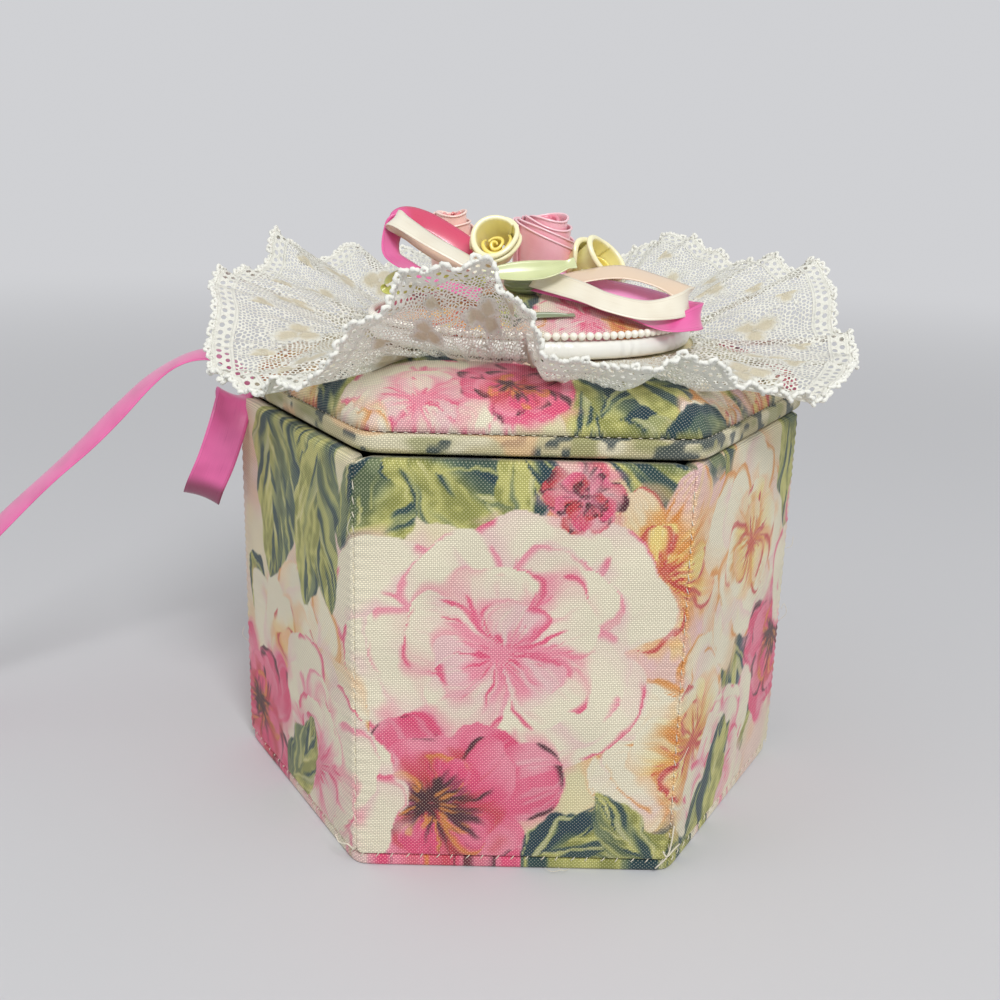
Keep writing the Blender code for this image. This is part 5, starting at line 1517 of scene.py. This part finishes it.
class JEWELRY_BOX_OT_lid(bpy.types.Operator):
    """Rolled band round the lid board, and the padded printed top"""
    bl_idname = "jewelry_box.lid"
    bl_label = "Lid"

    def execute(self, context):
        apothem = (BAND_HIGH.y - BAND_LOW.y) / 2.0
        paint = cotton("lid_band_cotton")
        points, faces, flat = rolled_tray(apothem, BAND_LOW.z, BAND_HIGH.z, 1.3 * MM,
                                          0.6 * MM, BAND_LOW.z + 0.9 * MM, 42.0)
        x, y = flat[:, 0] / MM + 40.0, flat[:, 1] / MM + 80.0
        pale, cream, olive = linear(((0.78, 0.74, 0.58), (0.88, 0.85, 0.73), (0.58, 0.59, 0.36)))
        shades = dyed(pale, cream, ease(0.35, 0.7, grain(x / 6.0, y / 3.0, 81)))
        for dye, share, begin, end, size_x, size_y, seed in (
                (olive, 0.7, 0.50, 0.80, 7.0, 3.0, 83),
                (linear(colours().teal), 0.85, 0.64, 0.74, 3.4, 2.2, 85),
                (linear(colours().peach), 0.6, 0.72, 0.85, 11.0, 5.0, 87)):
            shades = dyed(shades, dye, share * ease(begin, end, grain(x / size_x, y / size_y, seed)))
        make_piece("rolled_band", (lid_place(points), faces, flat), paint, "lid",
                   ["lid_band_cover"], shades)

        bearing, share, faces, rim = lattice(150, 0.75)
        reach = hexagon_reach(bearing, LID_APOTHEM, 42.0)
        table = np.linspace(0.0, 1.0, 600)
        arc = runs(np.stack([table * LID_APOTHEM, lid_rise(table)], -1))
        flat = polar(np.interp(share, table, arc) / LID_APOTHEM * reach, bearing, 0.0)[:, :2]
        edge = (1.0 - share) * LID_APOTHEM
        tuck = np.exp(-edge / (3.5 * MM)) * 0.30 * MM * folds(bearing, 130.0, 2.0, 17.0)
        broad = flat / (17.0 * MM) + 50.0
        swell = 0.5 * MM * (grain(broad[:, 0], broad[:, 1], 6) - 0.5)
        z = LID_LOW.z + lid_rise(share) + (tuck + swell) * ease(0.0, 1.5 * MM, edge)
        top = polar(share * reach, bearing, np.minimum(z, LID_HIGH.z))
        points = skirt(top, faces, rim, [top[rim] * (0.985, 0.985, 1.0)])
        flat = np.concatenate([flat, flat[rim]])
        make_piece("padded_top", (lid_place(points), faces, flat), cotton("printed_lid_cotton"), "lid",
                   ["lid_top_cover", "lid_wadding"], print_cotton(flat, LID_PRINT))
        return {"FINISHED"}


class JEWELRY_BOX_OT_medallion(bpy.types.Operator):
    """Padded disc, its gathered satin heading and the pearls round it"""
    bl_idname = "jewelry_box.medallion"
    bl_label = "Medallion"

    def execute(self, context):
        s = sizes()
        bearing, share, faces, rim = lattice(90, 0.85)
        x, y = DISC_R * share * np.cos(bearing), DISC_R * share * np.sin(bearing)
        edge = (1.0 - share) * DISC_R
        sunk = rolled_off(edge, 1.2 * MM)
        swell = 0.35 * MM * (grain(x / (11.0 * MM) + 20.0, y / (11.0 * MM) + 20.0, 12) - 0.5)
        z = disc_height(share * DISC_R) - sunk - np.abs(swell) * ease(0.0, 3.0 * MM, edge)
        top = np.stack([x, y, z], -1)
        flat = top[:, :2]
        board_r = (DISC_BOARD_HIGH.x - DISC_BOARD_LOW.x) / 2.0 + 0.3 * MM
        edges = ((DISC_R, DISC_LOW.z), (board_r, DISC_LOW.z), (board_r, DISC_BOARD_HIGH.z + 0.2 * MM))
        points = skirt(top, faces, rim, [polar(r, bearing[rim], height) for r, height in edges])
        flat = np.concatenate([flat] + [flat[rim] * (1.0 + 0.1 * k) for k in (1, 2, 3)])
        make_piece("padded_disc", (lid_place(points), faces, flat), cotton("printed_disc_cotton"), "lid",
                   ["medallion_cover"], print_cotton(flat, DISC_PRINT))

        inner = DISC_R + GAP
        outer = (HEADING_HIGH.x - HEADING_LOW.x) / 2.0
        low, high = HEADING_LOW.z, HEADING_HIGH.z
        count = 1320
        angle = np.arange(count) * math.tau / count
        pleat = 0.5 + 0.5 * folds(angle, 61.0, 2.4, 13.0) * (0.55 + 0.45 * np.sin(angle * 17.0))
        rings = []
        flats = []
        for turn in np.linspace(0.0, math.pi, 11):
            puff = math.sin(turn) ** 0.7
            r = inner + (outer - inner) * puff * (0.80 + 0.20 * pleat)
            height = lerp(low, high, 0.5 - 0.5 * math.cos(turn))
            rings.append(polar(r, angle, height))
            flats.append(np.stack([np.full(count, height), angle * outer * 1.6], -1))
        faces = grid_faces(11, count, wrap_rows=True, wrap_columns=True)
        paint = satin("white_heading_satin", colours().white_satin, 1.0)
        shape = lid_place(np.concatenate(rings)), faces, np.concatenate(flats)
        make_piece("gathered_heading", shape, paint, "lid", ["lace_heading"])

        places = []
        count = int(math.tau * PEARL_RING_R / s.pearl_pitch)
        for k in range(count):
            a = math.tau * k / count
            spot = Matrix.Translation((LID_X + PEARL_RING_R * math.cos(a),
                                       LID_Y + PEARL_RING_R * math.sin(a), PEARL_Z))
            places.append(spot @ turned(a, "Z") @ turned(math.pi / 2.0, "X"))
        copies(ball(14, 9, PEARL_R, (1.0, 1.0, 0.96)), places, "pearls",
               pearl_paint("pearl_trim_finish"), "lid", ["pearl_trim"])
        deselect()
        bpy.ops.mesh.primitive_torus_add(major_radius=PEARL_RING_R, minor_radius=0.28 * MM,
                                         major_segments=252, minor_segments=6,
                                         location=(LID_X, LID_Y, PEARL_Z))
        string = context.active_object
        string.name = "pearl_string"
        bpy.ops.object.transform_apply(location=True, rotation=True, scale=True)
        bpy.ops.object.shade_smooth()
        string.data.materials.append(thread_paint("pearl_string_thread", colours().thread))
        settle(string, "lid")
        return {"FINISHED"}


class JEWELRY_BOX_OT_lace(bpy.types.Operator):
    """Wide gathered lace with a picot edge"""
    bl_idname = "jewelry_box.lace"
    bl_label = "Lace Ruffle"

    def execute(self, context):
        columns, rows = 1200, 40
        bearing = np.arange(columns) * 360.0 / columns
        reach, lift, belly = self.edge(bearing)
        v = np.linspace(0.0, 1.0, rows) ** 0.92
        radius = LACE_R + np.outer(reach, v) * LACE_REACH
        foot = BAND_HIGH.z + (LID_HIGH.z - LID_LOW.z)
        z = foot + (BAND_HIGH.z + lift[:, None] * LACE_LIFT - foot) * v ** 1.15
        z = z + belly[:, None] * LACE_SAG * np.sin(math.pi * v)
        turn = np.radians(bearing)[:, None]
        grid = polar(radius, turn, z)
        gather = 0.8 * MM * np.exp(-((v - 0.12) / 0.22) ** 2) * folds(turn, 84.0, 1.4, 11.0, 3.0 * v)
        ripple = 0.95 * MM * v ** 2.5 * folds(turn, 46.0, 1.9, 7.0, 2.0 * v)
        flute = 1.5 * MM * np.sin(math.pi * v * 0.8) * folds(turn, 19.0, 1.3, 5.0)
        frill = 1.3 * MM * v ** 4 * folds(turn, 29.0, 2.3, 4.0) * (0.6 + 0.4 * np.sin(turn * 3.0 + 1.0))
        crimp = 0.34 * MM * folds(turn, 138.0, 2.6, 23.0, 5.0 * v) * (
            0.55 + 0.45 * np.sin(turn * 31.0 + 6.0 * v))
        grid = grid + facing(grid, True) * (gather + ripple + flute + frill + crimp)[:, :, None]
        share = outward_share(grid[:, :, 0], grid[:, :, 1], LID_APOTHEM)
        cover = np.where(share < 1.0, LID_LOW.z + lid_rise(share), BAND_HIGH.z)
        grid[:, :, 2] = np.maximum(grid[:, :, 2], cover + 0.5 * MM)
        out = np.concatenate([np.zeros((columns, 1)), np.cumsum(
            np.linalg.norm(np.diff(grid, axis=1), axis=2), axis=1)], axis=1)
        rim = np.linalg.norm(np.roll(grid[:, -1], -1, 0) - grid[:, -1], axis=1)
        run = np.concatenate([[0.0], np.cumsum(rim)])
        teeth = round(run[-1] / (sizes().tooth * 8.0)) * 8
        run = run[:-1] * (teeth * sizes().tooth / run[-1])
        flat = np.stack([np.broadcast_to(run[:, None], out.shape), LACE_WIDTH - (out[:, -1:] - out)], -1)
        points, faces, flat = thick_sheet(grid, flat, LACE_THICK, wrap=True)
        paint = lace_paint("gathered_lace", LACE_WIDTH)
        piece = make_piece("lace_frill", (lid_place(points), faces, flat), paint, "lid",
                           ["lace_ruffle"])
        edge = self.picots(grid, run, teeth)
        return {"FINISHED"}

    def picots(self, grid, run, teeth):
        """Loops of thick thread along the lace's edge, and the cord that they stand on."""
        rim = grid[:, -1]
        outward = unit(rim - grid[:, -4])
        along = unit(np.roll(rim, -1, 0) - np.roll(rim, 1, 0))
        stop = teeth * sizes().tooth
        shapes = []
        for index in range(teeth):
            at = (index + 0.5) * sizes().tooth
            place, way, out = [np.array([np.interp(at, run, rows[:, k], period=stop) for k in range(3)])
                               for rows in (rim, along, outward)]
            up = np.cross(way, out)
            lean = 0.5 * math.sin(index * 2.4) + 0.3 * math.sin(index * 5.1 + 1.0)
            out = out * math.cos(lean) + up * math.sin(lean)
            reach = (0.70 + 0.12 * math.sin(index * 1.7)) * MM
            turn = np.linspace(-0.75, math.pi + 0.75, 9)[:, None]
            loop = place + reach * (way * np.cos(turn) * 1.15 + out * (np.sin(turn) * 1.15 + 0.55))
            thick = PICOT_THICK * (1.0 + 0.32 * np.sin(np.arange(9) * 2.1 + index))
            shapes.append(tube(loop, thick, 6))
        ring = np.concatenate([rim, rim[:3]])[::2]
        shapes.append(tube(ring, 0.30 * MM * (1.0 + 0.4 * np.sin(np.arange(len(ring)) * 2.1)), 6))
        points, faces, flat = joined(shapes)
        return make_piece("lace_picot_edge", (lid_place(points), faces, flat),
                          lace_thread("lace_thread"), "lid", ["lace_ruffle"])

    def edge(self, bearing):
        """Reach, height and belly shares of the picot edge by bearing in degrees."""
        table = np.array(LACE_EDGE_SHARES)
        soft = np.exp(-0.5 * ((bearing + 180.0) % 360.0 - 180.0) ** 2 / 1.3 ** 2)
        soft = np.fft.rfft(soft / soft.sum())
        values = [np.interp(bearing, table[:, 0], table[:, k], period=360.0) for k in (1, 2, 3)]
        return [np.fft.irfft(np.fft.rfft(row) * soft, len(bearing)) for row in values]


class JEWELRY_BOX_OT_bow(bpy.types.Operator):
    """Nested narrow satin loops and the gathered knot under them"""
    bl_idname = "jewelry_box.bow"
    bl_label = "Bow Loops"

    def execute(self, context):
        s, c = sizes(), colours()
        deep = {"cream": (0.84, 0.76, 0.64), "pink": (0.70, 0.16, 0.40)}
        outside = {"cream": c.cream_satin, "pink": c.pink_satin}
        share = np.linspace(0.0, 1.0, 90)
        for name, (key, inside, begin, end, rows) in BOW_LOOPS.items():
            centre = lid_place(through(on_disc([row[0] for row in rows]), share))
            side = through([row[1] for row in rows], share)
            long = run_length(centre)
            # inside is painted light on the loop's far stretch: painted shade on most loops, a lighter
            # colour on the right pink loop.
            paint = satin(name.replace("bow_loop", "satin"), outside[key], s.narrow_ribbon, deep[key],
                          (inside, begin * long, end * long, "x"))
            ribbon(name.replace("bow_", "satin_"), centre, side, s.narrow_ribbon, SATIN_THICK, paint,
                   "lid", [name], 8, 0.25 * MM)
        knot = wad("bow_knot", (1.0, 0.0, -0.08), (0.0, 0.5, 0.8), (0.0, -0.85, 0.4),
                   (4.6 * MM, 2.2 * MM, 2.4 * MM), 9, 0.09)
        # The knot's muted green is partly a leaf's underside, partly painted shade where it lies under
        # the sage leaf.
        paint = satin("knot_green_satin_painted_shade", c.green_satin, 1.0, (0.30, 0.34, 0.24))
        make_piece("gathered_knot", knot, paint, "lid", ["bow_knot"])
        return {"FINISHED"}


class JEWELRY_BOX_OT_roses(bpy.types.Operator):
    """Ribbon roses: a wound heart and folded petals with curled rims"""
    bl_idname = "jewelry_box.roses"
    bl_label = "Ribbon Roses"

    def execute(self, context):
        c = colours()
        # Painted shade: the coil deep in each rose's heart takes the deeper inner colour; the last colour
        # of each is a painted highlight on the curled rims.
        coil = (-0.060, -0.030)
        paints = {"yellow": satin("yellow_rose_satin", c.yellow_satin, 1.0, (0.98, 0.92, 0.54),
                                  ((0.99, 0.91, 0.46), *coil, "y"), (1.00, 0.98, 0.84)),
                  "rose": satin("pink_rose_satin", c.rose_satin, 1.0, (0.98, 0.56, 0.64),
                                ((0.93, 0.48, 0.58), *coil, "y"), (1.00, 0.85, 0.88)),
                  "peach": satin("peach_rose_satin", c.peach_satin, 1.0, (0.96, 0.64, 0.58),
                                 ((0.92, 0.50, 0.50), *coil, "y"), (1.00, 0.90, 0.86))}
        for index, (name, row) in enumerate(ROSES.items()):
            key, middle, facing, radius, depth, style, bearing, longer = row
            shapes = (self.open_bud(radius, depth) if style == "open"
                      else self.full_rose(radius, depth, index))
            points, faces, flat = joined(shapes)
            way = np.array((math.cos(bearing), math.sin(bearing), 0.0))
            points = points + longer * (points @ way)[:, None] * way
            axis = Vector(facing).normalized()
            turn = np.array(axis.to_track_quat("Z", "Y").to_matrix())
            points = lid_place((points - (0.0, 0.0, depth)) @ turn.T + middle)
            make_piece("satin_" + name, (points, faces, flat), paints[key], "lid", [name])
        return {"FINISHED"}

    def open_bud(self, radius, depth):
        """A wide-mouthed bud: a small coil deep inside, and wraps round it."""
        return [self.wrap(inner * radius, outer * radius, start, sweep, height * depth, curl * MM,
                          dip * depth, waist, coil)
                for inner, outer, start, sweep, height, curl, dip, waist, coil in (
                    (0.04, 0.36, 0.4, 8.6, 0.56, 0.30, 0.10, 0.80, True),
                    (0.50, 0.66, 2.6, 4.4, 0.74, 0.35, 0.26, 0.60, True),
                    (0.86, 0.92, 0.6, 7.0, 1.00, 0.55, 0.05, 0.62, False),
                    (0.97, 1.06, 3.4, 3.4, 0.84, 0.50, 0.35, 0.70, False),
                    (1.00, 1.10, 0.2, 3.0, 0.72, 0.50, 0.35, 0.70, False))]

    def full_rose(self, radius, depth, seed):
        """A full rose: a coil and wide overlapping wraps, each lower than the one inside it."""
        shapes = [self.wrap(0.05 * radius, 0.46 * radius, 0.0, 12.0, 0.97 * depth, 0.35 * MM, 0.0, 0.9,
                            True)]
        for k in range(4):
            ring = k / 3.0
            start = 1.5 + (0.35 if k % 2 else -0.35) + 0.3 * math.sin(seed + 2.0 * k)
            shapes.append(self.wrap(
                lerp(0.50, 0.93, ring) * radius, lerp(0.62, 1.02, ring) * radius, start, 7.4,
                (1.0 - 0.05 * ring) * depth, 0.17 * MM, 0.04 * depth, lerp(0.95, 0.88, ring), False,
                0.50 * ring * depth))
        return shapes

    def wrap(self, inner, outer, start, sweep, height, curl, dip, waist, coil, lean=0.0):
        """Ribbon wound round the rose: a cupped sheet whose rim rolls outwards and may lean."""
        u = np.linspace(0.0, 1.0, int(9.0 * sweep) + 4)[:, None]
        ends = np.abs(2.0 * u - 1.0) ** 3.0
        angle = start + sweep * u
        reach = lerp(inner, outer, u) * (1.0 + 0.03 * np.sin(angle * 3.0))
        top = height - dip * ends + 0.03 * height * np.sin(angle * 2.0 + start * 5.0)
        top = top - lean * (0.5 + 0.5 * np.cos(angle + 0.3))
        round_rim = curl * (1.0 - 0.6 * ends)
        body = np.linspace(0.0, 1.0, 15)[None, :-1]
        roll = np.linspace(0.0, 3.7, 11)[None, :]
        side = reach * (waist + (1.0 - waist) * np.sin(math.pi / 2.0 * body) ** 0.8)
        pleat = 0.10 * MM * np.sin(angle * 9.0) * (1.0 - body)
        out = np.concatenate([side + pleat, reach + round_rim * (1.0 - np.cos(roll))], axis=1)
        below = top - round_rim
        up = np.concatenate([body * below, below + round_rim * np.sin(roll)], axis=1)
        grid = polar(out, angle, up)
        # The coil's flat places are moved into the stretch that is painted as shade.
        down = np.concatenate([(body - 1.0) * height, roll * curl], axis=1) - (0.035 if coil else 0.0)
        down = np.broadcast_to(down, out.shape)
        flat = np.stack([np.broadcast_to(angle * outer, out.shape), down], -1)
        return thick_sheet(grid, flat, SATIN_THICK)


class JEWELRY_BOX_OT_leaves(bpy.types.Operator):
    """Folded satin leaves, pointed at both ends"""
    bl_idname = "jewelry_box.leaves"
    bl_label = "Leaves"

    def execute(self, context):
        c = colours()
        paints = {"sage": satin("sage_leaf_satin", c.sage_satin, 1.0, (0.62, 0.68, 0.42)),
                  "green": satin("green_leaf_satin", c.green_satin, 1.0, (0.32, 0.37, 0.26))}
        for name, (key, width, way, shares) in LEAVES.items():
            u, v = np.meshgrid(np.linspace(0.0, 1.0, 60), np.linspace(-1.0, 1.0, 15), indexing="ij")
            centre = through(on_disc(shares), u[:, 0])
            along = unit(np.gradient(centre, axis=0))
            side = np.array(way) / np.linalg.norm(way)
            side = unit(side - along * (along @ side)[:, None])
            up = np.cross(along, side)
            blunt = 0.45 * ease(0.72, 1.0, u)
            half = 0.5 * width * np.maximum(np.sin(math.pi * u) ** 0.7, 0.10 + blunt)
            fold = (0.26 * width * np.cos(math.pi / 2.0 * v) - 0.08 * width) * np.sin(math.pi * u) ** 0.6
            crease = 0.06 * MM * np.sin(v * 19.0 + u * 4.0) * (1.0 - u)
            grid = centre[:, None] + side[:, None] * (half * v)[:, :, None]
            grid = grid - up[:, None] * (fold + crease)[:, :, None]
            flat = np.stack([u * width * 4.0, v * half], -1)
            points, faces, flat = thick_sheet(grid, flat, WIDE_SATIN_THICK)
            make_piece("satin_" + name, (lid_place(points), faces, flat), paints[key], "lid",
                       [name])
        paint = satin("olive_leaf_satin", (0.800, 0.820, 0.420), 4.8 * MM, (0.40, 0.42, 0.14))
        share = np.linspace(0.0, 1.0, 80)
        centre = lid_place(through(on_disc([row[0] for row in SMALL_LEAF]), share))
        ribbon("satin_leaf_small", centre, through([row[1] for row in SMALL_LEAF], share), 2.6 * MM,
               SATIN_THICK, paint, "lid", ["leaf_small"], 8, 0.2 * MM)
        return {"FINISHED"}


class JEWELRY_BOX_OT_stitches(bpy.types.Operator):
    """Corner stitches, whip stitches of the base, lid seam stitches and loose thread ends"""
    bl_idname = "jewelry_box.stitches"
    bl_label = "Stitches"

    def execute(self, context):
        s = sizes()
        paint = thread_paint("sewing_thread", colours().thread)
        places = []
        for k in range(SIDES):
            bearing = k * TURN
            for n in range(int((PANEL_HIGH.z - PANEL_LOW.z - 4.0 * MM) / s.seam_pitch)):
                jitter = math.sin(n * 12.9 + k * 4.1)
                z = PANEL_LOW.z + 3.0 * MM + n * s.seam_pitch + 0.25 * MM * jitter
                spot = Matrix.Translation(((CORNER_R - 0.62 * MM) * math.cos(bearing),
                                           (CORNER_R - 0.62 * MM) * math.sin(bearing), z))
                slant = turned(0.30 + 0.16 * math.sin(n * 7.7 + k), "X")
                places.append(spot @ turned(bearing, "Z") @ slant)
        stitch = unit_stitch(1.15 * MM, s.thread * 0.85, 0.10 * MM)
        copies(stitch, places, "corner_stitches", paint, "box")

        places = []
        count = int(SIDE / s.whip_pitch)
        for k in range(SIDES):
            for n in range(count):
                jitter = math.sin(n * 9.1 + k * 2.7)
                x = (n + 0.5) * SIDE / count - SIDE / 2.0 + 0.2 * MM * jitter
                spot = Matrix.Translation((x, -APOTHEM + 0.16 * MM, PANEL_LOW.z - 0.15 * MM))
                slant = turned(0.62 + 0.16 * jitter, "Y")
                places.append(turned(k * TURN, "Z") @ spot @ slant @ turned(-math.pi / 2.0, "Z"))
        stitch = unit_stitch(0.80 * MM, s.thread * 0.8, 0.24 * MM)
        copies(stitch, places, "whip_stitches", paint, "box")

        places = []
        side = 2.0 * LID_APOTHEM * MITRE
        count = int(side / (2.3 * MM))
        for k in range(SIDES):
            for n in range(1, count):
                x = n * side / count - side / 2.0
                spot = Matrix.Translation((x, -LID_APOTHEM - 0.12 * MM, BAND_HIGH.z + 0.25 * MM))
                turn = turned(math.pi / 2.0 + 0.10 * math.sin(n * 3.3), "Y")
                places.append(Matrix.Translation((LID_X, LID_Y, 0.0)) @ turned(k * TURN, "Z")
                              @ spot @ turn)
        stitch = unit_stitch(0.42 * MM, s.thread * 0.55, 0.0)
        copies(stitch, places, "lid_seam_stitches", paint, "lid")
        self.loose("loose_threads", LOOSE_THREADS, 0.20 * MM, paint)
        self.loose("fine_threads", FINE_THREADS, 0.06 * MM, paint)
        return {"FINISHED"}

    def loose(self, name, threads, radius, paint):
        """Thread ends left standing where the sewing was fastened off."""
        share = np.linspace(0.0, 1.0, 14)
        ends = [tube(through(np.array(row) * MM, share), radius) for row in threads]
        make_piece(name, joined(ends), paint, "box")


class JEWELRY_BOX_OT_hidden(bpy.types.Operator):
    """Finishes of the boards inside and of the sewn hinge"""
    bl_idname = "jewelry_box.hidden"
    bl_label = "Boards and Hinge Seam"

    def execute(self, context):
        board = board_paint("grey_board", ink((0.66, 0.61, 0.53)))
        thread = thread_paint("hinge_seam_thread", colours().thread)
        names = ["side_board_" + name for name in SIDE_NAMES]
        for name in names + ["base_board", "lid_board", "medallion_board"]:
            self.dress(name, board)
        self.dress("hinge_seam", thread)
        return {"FINISHED"}

    def dress(self, name, paint):
        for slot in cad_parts[name].material_slots:
            slot.material = paint


class JEWELRY_BOX_PT_panel(bpy.types.Panel):
    """Pieces of the jewelry box"""
    bl_idname = "JEWELRY_BOX_PT_panel"
    bl_label = "Jewelry Box"
    bl_space_type = "VIEW_3D"
    bl_region_type = "UI"
    bl_category = "Jewelry Box"

    def draw(self, context):
        for step in STEPS:
            self.layout.operator(step.bl_idname)
        for group in (context.scene.jewelry_box_sizes, context.scene.jewelry_box_colours):
            for key in group.bl_rna.properties.keys():
                if key not in ("name", "rna_type"):
                    self.layout.prop(group, key)


STEPS = (JEWELRY_BOX_OT_stage, JEWELRY_BOX_OT_side_ribbon, JEWELRY_BOX_OT_side_panels,
         JEWELRY_BOX_OT_linings, JEWELRY_BOX_OT_base, JEWELRY_BOX_OT_lid, JEWELRY_BOX_OT_medallion,
         JEWELRY_BOX_OT_lace, JEWELRY_BOX_OT_bow, JEWELRY_BOX_OT_roses, JEWELRY_BOX_OT_leaves,
         JEWELRY_BOX_OT_stitches, JEWELRY_BOX_OT_hidden)
CLASSES = (JewelryBoxSizes, JewelryBoxColours) + STEPS + (JEWELRY_BOX_PT_panel,)


def register():
    for one in CLASSES:
        bpy.utils.register_class(one)
    bpy.types.Scene.jewelry_box_sizes = bpy.props.PointerProperty(type=JewelryBoxSizes)
    bpy.types.Scene.jewelry_box_colours = bpy.props.PointerProperty(type=JewelryBoxColours)


def unregister():
    del bpy.types.Scene.jewelry_box_colours
    del bpy.types.Scene.jewelry_box_sizes
    for one in reversed(CLASSES):
        bpy.utils.unregister_class(one)


def main():
    register()
    for step in STEPS:
        group, name = step.bl_idname.split(".")
        getattr(getattr(bpy.ops, group), name)()


if __name__ == "__main__":
    main()
